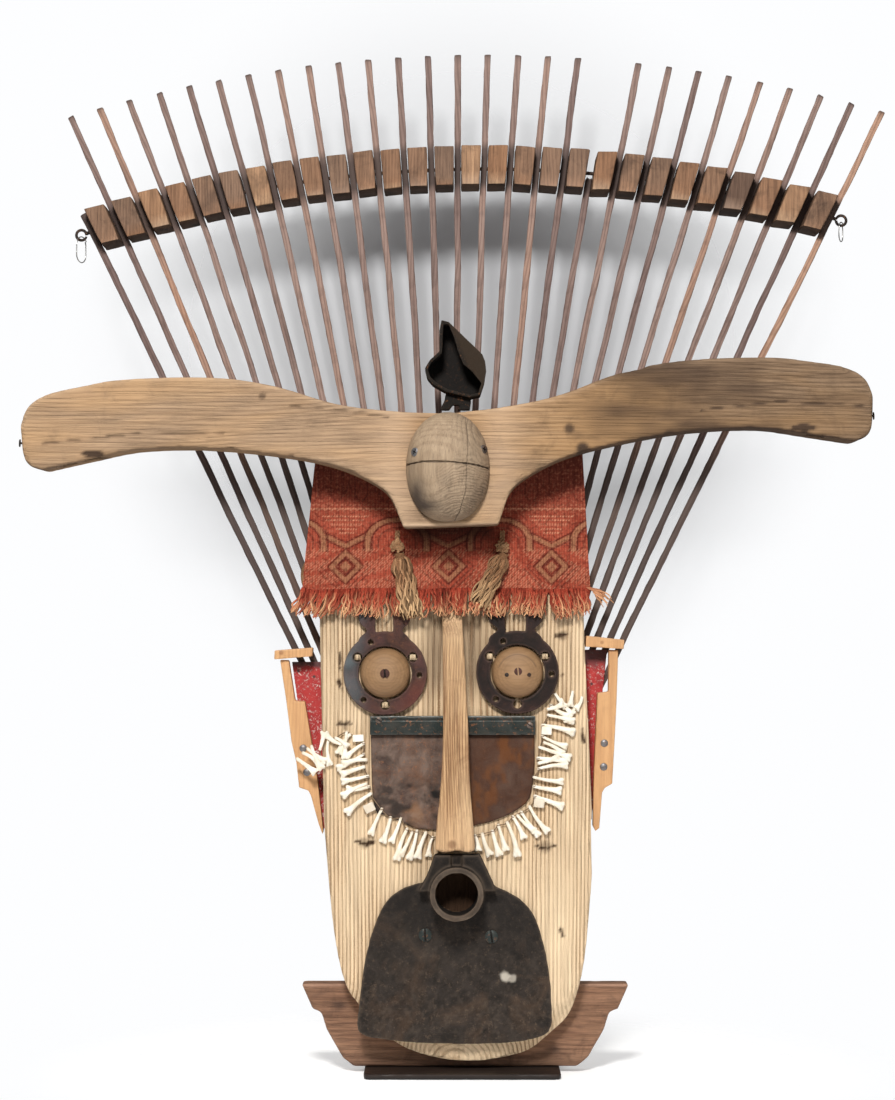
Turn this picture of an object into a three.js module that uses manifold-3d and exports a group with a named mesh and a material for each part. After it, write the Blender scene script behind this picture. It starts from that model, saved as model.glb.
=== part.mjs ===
// A standing found-object mask: a plank face with iron fittings, a yoke for wings, and a fan of
// long wooden tines threaded with an arch of blocks on one bent rod.
// Millimetres, +Z up, the face looks along -Y, the origin is under the middle of the foot.
import * as THREE from "three";
import { mergeVertices } from "three/addons/utils/BufferGeometryUtils.js";
import Module from "manifold-3d";

const wasm = await Module();
wasm.setup();

// ---- driving dimensions ----------------------------------------------------------------------
const GAP = 0.3; // air left between two pieces that touch
const foot = { width: 210, depth: 166, thick: 6, corner: 8 };
const board = { back: -36, thick: 32, top: 695.6 };
board.front = board.back - board.thick;
const onBoard = board.front - GAP; // back plane of everything fixed to the face
const base = { centreX: 3.5, thick: 29, bottom: foot.thick + GAP, top: 95 };
const cloth = { thick: 4.2, hem: 519, fringeEnd: 489, flap: 28 };
const yoke = { x: -15, z: 675.5, thick: 56, tilt: 2 };
yoke.back = board.front - cloth.thick - 1;
yoke.front = yoke.back - yoke.thick;
const head = { x: -15.4, z: 647.5, width: 87.4, height: 114.7, proud: 38 };
const fan = {
  count: 29,
  pivotX: -6.1,
  pivotZ: 99,
  firstAngle: -26.07,
  step: 1.868,
  plane: -29.5,
  width: 6.8,
  rootZ: 330,
  brokenIndex: 19,
};
const tips = { x: 24.4, z: -432.5, radius: 1535.1 }; // circle through the tips of the tines
const arch = { x: 24.1, z: -386.4, radius: 1364.2, rise: 43, depth: 50, side: 0.7 };
const rod = { radius: 2, hole: 2.6, eye: 5.4, eyeWire: 1.8, eyeOut: 12, sides: 8 };
const link = { wire: 0.65, turn: 55 };
link.left = { width: 18, length: 28 };
link.right = { width: 14, length: 21 };
const blade = { back: onBoard, thick: 3.3 };
const spine = { left: -98.2, right: 78, bottom: 364.6, top: 385, thick: 6 };
const eyes = {
  left: { x: -82.2, z: 430.4, radius: 44.7, dome: 27.1, proud: 21, notch: 475.2, lugs: [-19.6, 17.6] },
  right: { x: 58.9, z: 431.4, radius: 44.2, dome: 27.8, proud: 17, notch: 478.4, lugs: [-22, 17.9] },
};
const plate = { thick: 8.4, lugWidth: 18, lugTop: 505, bigHole: 5, smallHole: 3.2 };
const hoe = { thick: 4.5, eyeX: -6.1, eyeZ: 198.5, bore: 22.4, outer: 28.5, collarFront: -92, front: -112 };
const screw = { head: 7, shank: 2.2, length: 22, pilot: 2.6, rise: 3 };

// ---- small tools -----------------------------------------------------------------------------
const rad = THREE.MathUtils.degToRad;

function solid(geometry) {
  const g = geometry.index ? geometry.toNonIndexed() : geometry.clone();
  const bare = new THREE.BufferGeometry();
  bare.setAttribute("position", g.getAttribute("position"));
  const merged = mergeVertices(bare, 1e-3);
  return new wasm.Manifold(
    new wasm.Mesh({
      numProp: 3,
      vertProperties: merged.attributes.position.array,
      triVerts: new Uint32Array(merged.index.array),
    }),
  );
}

function geometryOf(body) {
  const m = body.getMesh();
  const g = new THREE.BufferGeometry();
  g.setAttribute("position", new THREE.BufferAttribute(new Float32Array(m.vertProperties), 3));
  g.setIndex(new THREE.BufferAttribute(new Uint32Array(m.triVerts), 1));
  const flat = g.toNonIndexed();
  flat.computeVertexNormals();
  return flat;
}

function join(...geometries) {
  return geometries.map(solid).reduce((a, b) => a.add(b));
}

const plain = { steps: 1, bevelEnabled: false };

// An outline in X and Z, extruded from the plane Y = back towards the viewer by thick.
function slab(outline, back, thick, curveSegments = 8) {
  const g = new THREE.ExtrudeGeometry(outline, { ...plain, depth: thick, curveSegments });
  return g.rotateX(Math.PI / 2).translate(0, back, 0);
}

// An outline in Y and Z, extruded along X from x0 to x1.
function bar(outline, x0, x1) {
  const g = new THREE.ExtrudeGeometry(outline, { ...plain, depth: x1 - x0 });
  const turn = new THREE.Matrix4().makeBasis(
    new THREE.Vector3(0, 1, 0),
    new THREE.Vector3(0, 0, 1),
    new THREE.Vector3(1, 0, 0),
  );
  return g.applyMatrix4(turn).translate(x0, 0, 0);
}

function polygon(points) {
  return new THREE.Shape(points.map(([a, b]) => new THREE.Vector2(a, b)));
}

// A closed shape whose first points are corners and whose stretches in `curves` are splines.
function smooth(start, curves) {
  const s = new THREE.Shape();
  s.moveTo(...start);
  for (const run of curves) {
    if (run.length === 1) s.lineTo(...run[0]);
    else s.splineThru(run.map(([a, b]) => new THREE.Vector2(a, b)));
  }
  return s;
}

// A round bar along Y, from the plane y0 to y1.
function pin(x, z, radius, y0, y1, sides = 16) {
  const g = new THREE.CylinderGeometry(radius, radius, y1 - y0, sides);
  return g.translate(x, (y0 + y1) / 2, z);
}

function box(x0, x1, y0, y1, z0, z1) {
  const g = new THREE.BoxGeometry(x1 - x0, y1 - y0, z1 - z0);
  return g.translate((x0 + x1) / 2, (y0 + y1) / 2, (z0 + z1) / 2);
}

// A profile of [radius, height] turned round an axis along -Y that starts at (x, y, z).
function turned(profile, x, y, z, sides = 24) {
  const g = new THREE.LatheGeometry(profile.map(([r, h]) => new THREE.Vector2(r, h)), sides);
  return g.rotateX(Math.PI).translate(x, y, z);
}

// ---- materials -------------------------------------------------------------------------------
function material(color, roughness, metalness = 0) {
  return new THREE.MeshStandardMaterial({ color, roughness, metalness });
}

const looks = {
  pine: material(0xd9bf94, 0.8),
  weathered: material(0x8f7a63, 0.85),
  tine: material(0x77655f, 0.8),
  beech: material(0xd6a367, 0.6),
  darkWood: material(0x3a2019, 0.6),
  redWood: material(0x7d5240, 0.75),
  handle: material(0xb58a58, 0.6),
  blackIron: material(0x1c1a19, 0.75, 0.6),
  rust: material(0x5a4038, 0.85, 0.4),
  bladeIron: material(0x6a5546, 0.6, 0.7),
  wire: material(0xb9bcbf, 0.35, 0.9),
  redPaint: material(0xa8353a, 0.6),
  bone: material(0xe4d9c0, 0.55),
  terracotta: material(0xb9523f, 0.95),
  tan: material(0xb9a27a, 0.95),
};

const mask = new THREE.Group();
mask.name = "found_object_mask";

function add(name, look, body) {
  const geometry = body instanceof THREE.BufferGeometry ? body : geometryOf(body);
  const mesh = new THREE.Mesh(geometry, looks[look]);
  mesh.name = name;
  mask.add(mesh);
  return mesh;
}

// ---- foot and base plank ---------------------------------------------------------------------
function roundedRectangle(width, depth, corner) {
  const s = new THREE.Shape();
  const x = width / 2;
  const y = depth / 2;
  s.moveTo(-x + corner, -y);
  s.lineTo(x - corner, -y);
  s.quadraticCurveTo(x, -y, x, -y + corner);
  s.lineTo(x, y - corner);
  s.quadraticCurveTo(x, y, x - corner, y);
  s.lineTo(-x + corner, y);
  s.quadraticCurveTo(-x, y, -x, y - corner);
  s.lineTo(-x, -y + corner);
  s.quadraticCurveTo(-x, -y, -x + corner, -y);
  return s;
}

const footPlan = roundedRectangle(foot.width, foot.depth, foot.corner);
add("foot", "darkWood", new THREE.ExtrudeGeometry(footPlan, { ...plain, depth: foot.thick }));

// Half of the stepped outline of the base plank, from the top corner down: [half width, height].
const baseHalf = [
  [176.6, base.top],
  [164.7, 68],
  [155.3, 64.5],
  [149.6, 46],
  [132, 15.5],
  [120, base.bottom],
];
const baseOutline = polygon([
  ...baseHalf.map(([x, z]) => [base.centreX - x, z]),
  ...baseHalf.toReversed().map(([x, z]) => [base.centreX + x, z]),
]);
add("base_plank", "redWood", slab(baseOutline, board.back + GAP + base.thick, base.thick));

// ---- the plank face --------------------------------------------------------------------------
const face = smooth(
  [-150, board.top],
  [
    [[-152.6, 487]],
    [[-147.8, 273]],
    [
      [-138.7, 168],
      [-127.1, 106],
      [-112, 78],
      [-74, 37.6],
      [-34.4, 20.5],
      [2.8, 15.5],
      [35.2, 17.8],
      [70.1, 26.9],
      [95.6, 47.2],
      [114.3, 66.5],
      [125.8, 101.3],
      [132.5, 143.5],
      [138.5, 215.2],
    ],
    [[137.4, 273]],
    [[138.9, 279]],
    [[132.5, 427]],
    [[129.8, 500]],
    [[124, board.top]],
  ],
);
const hoeScrews = [
  { name: "hoe_screw_left", x: -39.4, z: 151.9 },
  { name: "hoe_screw_right", x: 31.1, z: 150.1 },
];
let faceBody = solid(slab(face, board.back, board.thick, 3));
for (const s of [...hoeScrews, eyes.left]) {
  const pilotEnd = board.front + screw.length + 2;
  faceBody = faceBody.subtract(solid(pin(s.x, s.z, screw.pilot, board.front - 1, pilotEnd)));
}
add("face_board", "pine", faceBody);

// ---- hoe head: blade, collar and open eye ----------------------------------------------------
const hoeOutline = smooth(
  [-46.2, 206.9],
  [
    [
      [-62.2, 201.3],
      [-80.7, 187.4],
      [-93.5, 161.7],
      [-104, 122.1],
      [-112, 57.3],
    ],
    [
      [-109.5, 49],
      [-100, 43.5],
      [-80, 40.5],
      [-47, 37.5],
      [0, 36.3],
      [40, 37],
      [66, 39.6],
      [84, 44],
      [92, 49.5],
      [95.6, 60],
    ],
    [
      [93.3, 104],
      [86.3, 143.5],
      [75.8, 173.5],
      [58.5, 191.7],
      [35.2, 203.5],
    ],
  ],
);
const collar = polygon([
  [-29.6, 238.1],
  [-37, 216.8],
  [-46.2, 200],
  [35.2, 200],
  [32.6, 208.3],
  [18.6, 238.1],
]);
const bladeFront = onBoard - hoe.thick;
let hoeBody = join(
  slab(hoeOutline, onBoard, hoe.thick, 3),
  slab(collar, onBoard, onBoard - hoe.collarFront),
  pin(hoe.eyeX, hoe.eyeZ, hoe.outer, hoe.front, onBoard, 32),
);
hoeBody = hoeBody
  .subtract(solid(pin(hoe.eyeX, hoe.eyeZ, hoe.bore, hoe.front - 1, board.front + 1, 32)))
  .subtract(solid(box(-12, 0, hoe.collarFront - 1, hoe.collarFront + 9, 226, 240)));
for (const s of hoeScrews)
  hoeBody = hoeBody.subtract(solid(pin(s.x, s.z, screw.pilot, bladeFront - 1, board.front + 1)));
add("hoe_head", "blackIron", hoeBody);

// A slotted round-head screw: the head sits on the plane Y = seat, the shank goes back from it.
function slottedScrew(x, z, seat, headRadius, length) {
  const profile = [
    [0, -length],
    [screw.shank, -length],
    [screw.shank, 0],
    [headRadius, 0],
    [headRadius * 0.9, screw.rise * 0.6],
    [0, screw.rise],
  ];
  const slot = box(x - 0.8, x + 0.8, seat - screw.rise - 1, seat - screw.rise + 1.4, z - 20, z + 20);
  return solid(turned(profile, x, seat, z, 16)).subtract(solid(slot));
}
for (const s of hoeScrews) {
  const seat = bladeFront - GAP;
  add(s.name, "rust", slottedScrew(s.x, s.z, seat, screw.head, screw.length));
}

// ---- mouth blade with its spine, and the nose handle -----------------------------------------
const bladeOutline = smooth(
  [spine.left + 0.7, spine.top - 5],
  [
    [[-97.5, 361.8]],
    [[-96.8, 317]],
    [
      [-92.7, 284],
      [-79.3, 278.4],
      [-62.6, 270.4],
      [-49.4, 264.9],
      [-31.2, 263.4],
      [-7.7, 260.2],
      [12.4, 267.6],
      [30.1, 271.9],
      [50.6, 280],
      [69.7, 293.5],
      [75.2, 312.6],
      [77.2, 333],
    ],
    [[spine.right - 0.7, spine.top - 5]],
  ],
);
add("mouth_blade", "bladeIron", slab(bladeOutline, blade.back, blade.thick, 3));
const spineBack = blade.back - blade.thick - GAP;
const spineFront = spineBack - spine.thick;
add(
  "mouth_blade_spine",
  "blackIron",
  box(spine.left, spine.right, spineFront, spineBack, spine.bottom, spine.top),
);

// The nose is a flat handle: its upper half lies on the board and its lower half on the spine.
const nose = { top: 512, bottom: 240.8, thick: 15, taper: 470, step: spine.top + 7 };
nose.front = spineFront - GAP - nose.thick;
const noseOutline = smooth(
  [-21.5, nose.top],
  [
    [
      [-20.4, 381],
      [-22.6, 317],
      [-26.8, 275],
      [-28.9, nose.bottom + 3],
    ],
    [
      [-18, nose.bottom],
      [-6, nose.bottom + 2],
      [6, nose.bottom],
      [13.5, nose.bottom + 3],
    ],
    [
      [11.4, 275],
      [8.2, 317],
      [6.1, 381],
      [-1.3, nose.top],
    ],
  ],
);
const noseSide = polygon([
  [onBoard, nose.top],
  [onBoard, nose.step],
  [spineFront - GAP, nose.step],
  [spineFront - GAP, nose.bottom - 5],
  [nose.front, nose.bottom - 5],
  [nose.front, nose.taper],
  [onBoard - 6.5, nose.top],
]);
add(
  "nose_handle",
  "handle",
  solid(slab(noseOutline, onBoard + 5, 60, 4)).intersect(solid(bar(noseSide, -60, 60))),
);

// ---- flange eyes: two lugged plates, two wooden domes ----------------------------------------
const bigHoles = { radius: 34, angles: [150, 30, 270] };
const smallHoles = { radius: 36.5, angles: [115, -3, 231] };
const plateFront = onBoard - plate.thick;

function holesOn(eye, ring, size) {
  return ring.angles.map((a) =>
    pin(
      eye.x + ring.radius * Math.cos(rad(a)),
      eye.z + ring.radius * Math.sin(rad(a)),
      size,
      plateFront - 1,
      board.front,
      12,
    ),
  );
}

for (const [side, eye] of Object.entries(eyes)) {
  const lugs = eye.lugs.map((dx) => {
    const x = eye.x + dx;
    const half = plate.lugWidth / 2;
    return box(x - half, x + half, plateFront, onBoard, eye.z, plate.lugTop);
  });
  const gapHalf = (eye.lugs[1] - eye.lugs[0] - plate.lugWidth) / 2;
  const middle = eye.x + (eye.lugs[0] + eye.lugs[1]) / 2;
  const notch = box(middle - gapHalf, middle + gapHalf, plateFront - 1, board.front, eye.notch, 520);
  let body = join(pin(eye.x, eye.z, eye.radius, plateFront, onBoard, 48), ...lugs);
  const cuts = [
    notch,
    pin(eye.x, eye.z, eye.dome + 1.5, plateFront - 1, board.front, 32),
    ...holesOn(eye, bigHoles, plate.bigHole),
    ...holesOn(eye, smallHoles, plate.smallHole),
  ];
  for (const cut of cuts) body = body.subtract(solid(cut));
  add("eye_plate_" + side, "rust", body);

  const profile = [[0, 0]];
  for (let a = 0; a <= 90; a += 15)
    profile.push([eye.dome * Math.cos(rad(a)) ** 0.7, 5 + (eye.proud - 5) * Math.sin(rad(a))]);
  profile[1][0] = eye.dome;
  profile.splice(1, 0, [eye.dome, 0]);
  profile[profile.length - 1][0] = 0;
  let dome = solid(turned(profile, eye.x, onBoard, eye.z, 32));
  if (side === "left") dome = dome.subtract(solid(pin(eye.x, eye.z, screw.pilot, -200, 0)));
  add("eye_dome_" + side, "handle", dome);
}
const domeSeat = onBoard - eyes.left.proud - GAP;
const domeScrewLength = eyes.left.proud + screw.length - 2;
add(
  "eye_screw_left",
  "rust",
  slottedScrew(eyes.left.x, eyes.left.z, domeSeat, 5, domeScrewLength),
);

// ---- cloth, its fringe and the two tassels ---------------------------------------------------
const clothFront = onBoard - cloth.thick;
const fringeBack = plateFront - 1.2;
const fringeFront = fringeBack - 3.8;
const clothTop = board.top + GAP + cloth.thick;
const flapFront = board.back + GAP;
const clothSide = polygon([
  [clothFront, clothTop],
  [clothFront, cloth.hem + 5],
  [fringeFront, cloth.hem - 5],
  [fringeFront, cloth.fringeEnd],
  [fringeBack, cloth.fringeEnd],
  [fringeBack, cloth.hem - 8],
  [onBoard, cloth.hem + 2.5],
  [onBoard, board.top + GAP],
  [flapFront, board.top + GAP],
  [flapFront, board.top - cloth.flap],
  [flapFront + 2, board.top - cloth.flap],
  [flapFront + 2, clothTop],
]);
const clothOutline = polygon([
  [-153, clothTop + 1],
  [-171, cloth.hem],
  [-180, cloth.fringeEnd - 1],
  [144, cloth.fringeEnd - 1],
  [136.6, cloth.hem],
  [127, clothTop + 1],
]);
// The fringe bulges over the top of the nose.
const noseBulge = polygon([
  [fringeFront, 514],
  [fringeFront, 510],
  [fringeFront - 9.5, cloth.fringeEnd],
  [fringeBack - 9.5, cloth.fringeEnd],
  [fringeBack, 507],
  [fringeBack, 514],
]);
const clothBody = solid(bar(clothSide, -190, 190))
  .intersect(solid(slab(clothOutline, 0, 120)))
  .subtract(solid(box(-24, 3, -120, -60, 400, 507)))
  .add(solid(bar(noseBulge, -27, 6)));
add("cloth", "terracotta", clothBody);

// Tassels hang in front of the cloth: a neck, a knot and a flattened skirt.
function tassel(topX, topZ, endX, endZ, width) {
  const length = Math.hypot(endX - topX, endZ - topZ);
  const profile = [
    [0, 0],
    [width / 2, 2],
    [width / 2.2, length * 0.45],
    [width / 4, length * 0.62],
    [width / 3.4, length * 0.75],
    [2, length * 0.9],
    [0, length],
  ].map(([r, h]) => new THREE.Vector2(r, h));
  const g = new THREE.LatheGeometry(profile, 12);
  g.rotateX(Math.PI / 2).scale(1, 0.45, 1);
  g.rotateX(rad(-6)).rotateY(-Math.atan2(endX - topX, topZ - endZ));
  return g.translate(endX, fringeFront - 8.5, endZ);
}
add("tassel_left", "tan", tassel(-71.4, 556, -57.6, 486, 23));
add("tassel_right", "tan", tassel(40.1, 553, 19.5, 503, 20));

// ---- yoke, bird head and crest ---------------------------------------------------------------
// Half of the yoke's outline, from the middle to the tip: distance out and height.
const yokeTop = [
  [47, 31.5],
  [94, 38],
  [128, 46],
  [168, 60],
  [199, 68],
  [236, 74],
  [288, 76.5],
  [346, 75.5],
  [377, 71],
  [419, 63],
  [440, 50],
  [448, 31],
];
const yokeEnd = [
  [446, 2],
  [440, -10.5],
  [427, -16],
];
const yokeBelly = [
  [382, -7.5],
  [335, 1],
  [293, 2.3],
  [246, 0],
  [199, -6],
  [157, -13.5],
  [134, -19],
  [110, -27],
  [82, -41],
  [65, -54.5],
  [57.5, -70],
];
const mirrored = (points) => points.toReversed().map(([x, z]) => [-x, z]);
const yokeOutline = smooth(
  [0, 28],
  [
    yokeTop.slice(0, 1),
    yokeTop.slice(1),
    yokeEnd,
    yokeBelly,
    [[50, -90]],
    [[-50, -90]],
    mirrored(yokeBelly.slice(-1)),
    mirrored([...yokeEnd.slice(-1), ...yokeBelly.slice(0, -1)]),
    mirrored([...yokeTop.slice(-1), ...yokeEnd.slice(0, -1)]),
    mirrored(yokeTop.slice(0, -1)),
  ],
);
const yokeGeometry = slab(yokeOutline, 0, yoke.thick, 3)
  .rotateY(-rad(yoke.tilt))
  .translate(yoke.x, yoke.back, yoke.z);
add("yoke", "weathered", solid(yokeGeometry));

// The bird head is half of an egg: superellipse-like in height, round across.
const eggProfile = [];
for (let i = 0; i <= 12; i++) {
  const a = (i / 12) * Math.PI - Math.PI / 2;
  const squareness = Math.sin(a) < 0 ? 0.82 : 0.95;
  const r = i % 12 === 0 ? 0 : (head.width / 2) * Math.cos(a) ** squareness;
  eggProfile.push(new THREE.Vector2(r, (head.height / 2) * Math.sin(a)));
}
const egg = new THREE.LatheGeometry(eggProfile, 32)
  .rotateX(Math.PI / 2)
  .scale(1, head.proud / (head.width / 2), 1)
  .translate(head.x, yoke.front - GAP, head.z);
const frontHalf = box(-100, 100, yoke.front - 60, yoke.front - GAP, 500, 800);
add("bird_head", "pine", solid(egg).intersect(solid(frontHalf)));

// The crest is a folded iron socket, open to the front, on a forked stem.
const crest = { back: -88, depth: 34, wall: 2.4 };
const crestOutline = [
  [-22, 803],
  [-24, 792],
  [-24, 770],
  [-34, 761],
  [-39.4, 752],
  [-37, 742],
  [-31, 735],
  [-17, 727],
  [8, 721],
  [18.7, 723.6],
  [23, 736],
  [25, 749],
  [24, 759.5],
  [20.8, 767],
  [-14, 800.7],
];
const crestMouth = [
  [-20, 799],
  [-21.5, 768],
  [-33, 758],
  [-36.5, 751],
  [-34, 743],
  [-29, 738],
  [-16, 730],
  [8, 724],
  [16.5, 726],
  [20, 736],
  [10, 748.7],
  [1, 756],
  [-5, 771],
  [-8.6, 784],
  [-14.4, 798],
];
const crestCavity = [
  ...crestMouth.slice(0, 10),
  [22, 749],
  [21, 759],
  [18, 765],
  [-14.4, 797],
];
const crestStem = [
  [-17, 729],
  [-19, 718],
  [-24, 708.5],
  [-14, 708.5],
  [-10, 714],
  [-3, 714],
  [-5, 708.5],
  [8, 708.5],
  [9, 716],
  [9, 724],
];
const crestFront = crest.back - crest.depth;
const crestBody = solid(slab(polygon(crestOutline), crest.back, crest.depth))
  .subtract(
    solid(slab(polygon(crestCavity), crest.back - crest.wall, crest.depth - 2 * crest.wall)),
  )
  .subtract(solid(slab(polygon(crestMouth), crest.back - crest.wall, crest.depth + 5)))
  .add(solid(slab(polygon(crestStem), crestFront + 22, 14)));
add("crest_iron", "blackIron", crestBody);

// ---- ears: a riveted bar with a cap strip, over a painted sheet leaf --------------------------
const ear = { barBack: board.back - GAP, barThick: 18, capThick: 24, leafThick: 1.5 };
const ears = {
  left: {
    bar: [
      [-195.7, 444.2],
      [-189, 400.3],
      [-183.3, 356.5],
      [-178.1, 334],
      [-175.1, 307.2],
      [-165, 304],
      [-162.4, 298.7],
      [-154, 268],
      [-149.5, 256],
      [-148.9, 262],
      [-155.6, 319],
      [-161.7, 356.5],
      [-168.9, 399.5],
      [-179.5, 400.3],
      [-186.3, 443.9],
    ],
    cap: [
      [-201.7, 444.9],
      [-160.9, 448.1],
      [-160.2, 457.6],
      [-201, 454.4],
    ],
    leaf: [
      [-184, 442],
      [-178, 400],
      [-165, 340],
      [-151, 262],
      [-140, 262],
      [-134, 330],
      [-136, 442],
    ],
  },
  right: {
    bar: [
      [157.6, 455],
      [157.1, 410],
      [145.4, 408.9],
      [143.2, 359.7],
      [141.1, 309.4],
      [140.3, 266],
      [143, 261],
      [147, 264],
      [150.1, 301.9],
      [153, 307],
      [161, 311.5],
      [163.5, 354.3],
      [165.7, 397],
      [167.8, 454.6],
    ],
    cap: [
      [132.6, 458.4],
      [173.3, 455.9],
      [173.9, 465.9],
      [132.9, 470.4],
    ],
    leaf: [
      [116, 455],
      [118, 300],
      [128, 264],
      [140, 272],
      [144, 330],
      [151, 400],
      [157, 455],
    ],
  },
};
for (const [side, part] of Object.entries(ears)) {
  add("ear_bar_" + side, "beech", solid(slab(polygon(part.bar), ear.barBack, ear.barThick)));
  add("ear_cap_" + side, "beech", solid(slab(polygon(part.cap), ear.barBack, ear.capThick)));
  const leafBack = board.back + GAP + ear.leafThick;
  add("ear_leaf_" + side, "redPaint", solid(slab(polygon(part.leaf), leafBack, ear.leafThick)));
}

// ---- bone string: a cord round the mouth with a fringe of small bones ------------------------
const bones = { plane: -73, cord: 1.2, spacing: 10.6, overCollar: 19, length: 30, thin: 1.5, knob: 3.4 };
const cordRoute = [
  [-148, 368],
  [-124, 371],
  [-105, 362],
  [-101, 330],
  [-99.5, 300],
  [-88, 274],
  [-62, 262],
  [-30, 256],
  [-6, 253.5],
  [22, 260],
  [50, 271],
  [72, 285],
  [82, 308],
  [83, 340],
  [86, 372],
  [98, 392],
  [116, 402],
].map(([x, z]) => new THREE.Vector3(x, bones.plane, z));
const cordCurve = new THREE.CatmullRomCurve3(cordRoute);

function tube(curve, radius, sides, steps) {
  const corners = [];
  for (let k = 0; k < sides; k++) {
    const a = (2 * Math.PI * k) / sides;
    corners.push([radius * Math.cos(a), radius * Math.sin(a)]);
  }
  const section = polygon(corners);
  return new THREE.ExtrudeGeometry(section, { steps, bevelEnabled: false, extrudePath: curve });
}

// One bone from the cord outwards: thin at the cord, with a knob at the far end.
function bone(x, z, angle, length) {
  const profile = [
    [0, -1],
    [bones.thin, 0],
    [bones.thin, length * 0.7],
    [bones.knob, length - 3],
    [0, length],
  ].map(([r, h]) => new THREE.Vector2(r, h));
  const g = new THREE.LatheGeometry(profile, 5);
  g.rotateX(Math.PI / 2).rotateY(angle);
  return g.translate(x, bones.plane, z);
}

const boneCount = Math.floor(cordCurve.getLength() / bones.spacing);
let string = solid(tube(cordCurve, bones.cord, 6, 64));
for (let i = 0; i <= boneCount; i++) {
  const u = i / boneCount;
  const p = cordCurve.getPointAt(u);
  const t = cordCurve.getTangentAt(u);
  const underNose = p.x > -26 && p.x < 12;
  if (underNose) continue;
  // Each bone points away from the mouth, swung a little differently from the next one.
  const outward = Math.atan2(t.z, -t.x);
  const swing = 0.2 * Math.sin(i * 2.4);
  const shorter = 5 * Math.abs(Math.sin(i * 1.7));
  const aboveCollar = p.x > -50 && p.x < 40;
  const length = aboveCollar ? bones.overCollar : bones.length - shorter;
  string = string.add(solid(bone(p.x, p.z, outward + swing, length)));
}
add("bone_string", "bone", string);

// ---- the fan of tines and the arch that threads them -----------------------------------------
const direction = (i) => {
  const a = rad(fan.firstAngle + i * fan.step);
  return new THREE.Vector2(Math.sin(a), Math.cos(a));
};
const pivot = new THREE.Vector2(fan.pivotX, fan.pivotZ);

// Distance from the pivot, along the direction u, to a circle.
function reach(u, circle) {
  const d = pivot.clone().sub(new THREE.Vector2(circle.x, circle.z));
  const b = d.dot(u);
  return -b + Math.sqrt(b * b - d.lengthSq() + circle.radius ** 2);
}
const along = (u, t) => pivot.clone().addScaledVector(u, t);

for (let i = 0; i < fan.count; i++) {
  const u = direction(i);
  const side = new THREE.Vector2(u.y, -u.x).multiplyScalar(fan.width / 2);
  const threaded = reach(u, arch);
  const start = (fan.rootZ - fan.pivotZ) / u.y;
  let end = reach(u, tips);
  if (i === 0) end = threaded + arch.rise / 2;
  if (i === fan.brokenIndex) end = threaded - rod.hole - 1;
  const a = along(u, start);
  const b = along(u, end);
  const outline = polygon([
    [a.x - side.x, a.y - side.y],
    [a.x + side.x, a.y + side.y],
    [b.x + side.x, b.y + side.y],
    [b.x - side.x, b.y - side.y],
  ]);
  let tine = solid(slab(outline, fan.plane + fan.width / 2, fan.width));
  if (i !== fan.brokenIndex) {
    const hole = new THREE.CylinderGeometry(rod.hole, rod.hole, 3 * fan.width, 8);
    const p = along(u, threaded);
    const fromCentre = Math.atan2(p.x - arch.x, p.y - arch.z);
    hole.rotateZ(Math.PI / 2).rotateY(fromCentre).translate(p.x, fan.plane, p.y);
    tine = tine.subtract(solid(hole));
  }
  add("tine_" + String(i).padStart(2, "0"), "tine", tine);
}

const rodPoint = (angle) =>
  new THREE.Vector3(
    arch.x + arch.radius * Math.sin(angle),
    fan.plane,
    arch.z + arch.radius * Math.cos(angle),
  );
const angleOf = (i) => {
  const p = along(direction(i), reach(direction(i), arch));
  return Math.atan2(p.x - arch.x, p.y - arch.z);
};
const outBy = rod.eyeOut / arch.radius;
const rodEnds = [angleOf(0) - outBy, angleOf(fan.count - 1) + outBy];
const rodLine = [];
for (let k = 0; k <= 40; k++)
  rodLine.push(rodPoint(THREE.MathUtils.lerp(rodEnds[0], rodEnds[1], k / 40)));
const shortened = rodLine.slice();
shortened[0] = rodPoint(rodEnds[0] + rod.eye / arch.radius);
shortened[40] = rodPoint(rodEnds[1] - rod.eye / arch.radius);
let archBody = solid(tube(new THREE.CatmullRomCurve3(shortened), rod.radius, rod.sides, 58));
const eyeCentres = rodEnds.map(rodPoint);
for (const c of eyeCentres) {
  const ring = new THREE.TorusGeometry(rod.eye, rod.eyeWire, 8, 16);
  archBody = archBody.add(solid(ring.rotateX(Math.PI / 2).translate(c.x, c.y, c.z)));
}
for (let i = 0; i < fan.count - 1; i++) {
  const corners = [];
  for (const [index, sign] of [
    [i, 1],
    [i + 1, -1],
  ]) {
    const u = direction(index);
    const out = new THREE.Vector2(u.y, -u.x).multiplyScalar(sign * (fan.width / 2 + arch.side));
    const t = reach(u, arch);
    const low = along(u, t - arch.rise / 2).add(out);
    const high = along(u, t + arch.rise / 2).add(out);
    corners.push(...(sign > 0 ? [high, low] : [low, high]));
  }
  const outline = new THREE.Shape(corners);
  archBody = archBody.add(solid(slab(outline, fan.plane + arch.depth / 2, arch.depth)));
}
add("block_arch", "weathered", archBody);

// Wire links hang through the two eyes: rings pulled out into long loops.
["left", "right"].forEach((side, k) => {
  const c = eyeCentres[k];
  const half = link[side].width / 2;
  const straight = link[side].length - link[side].width;
  const loop = new THREE.TorusGeometry(half, link.wire, 6, 16);
  const place = loop.getAttribute("position");
  for (let v = 0; v < place.count; v++)
    if (place.getY(v) < -link.wire) place.setY(v, place.getY(v) - straight);
  loop.rotateX(Math.PI / 2).rotateZ(rad(link.turn));
  const top = c.z - (rod.eye - rod.eyeWire) + link.wire + 2 * GAP;
  loop.translate(c.x, c.y, top - half);
  add("link_" + side, "wire", solid(loop));
});

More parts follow.
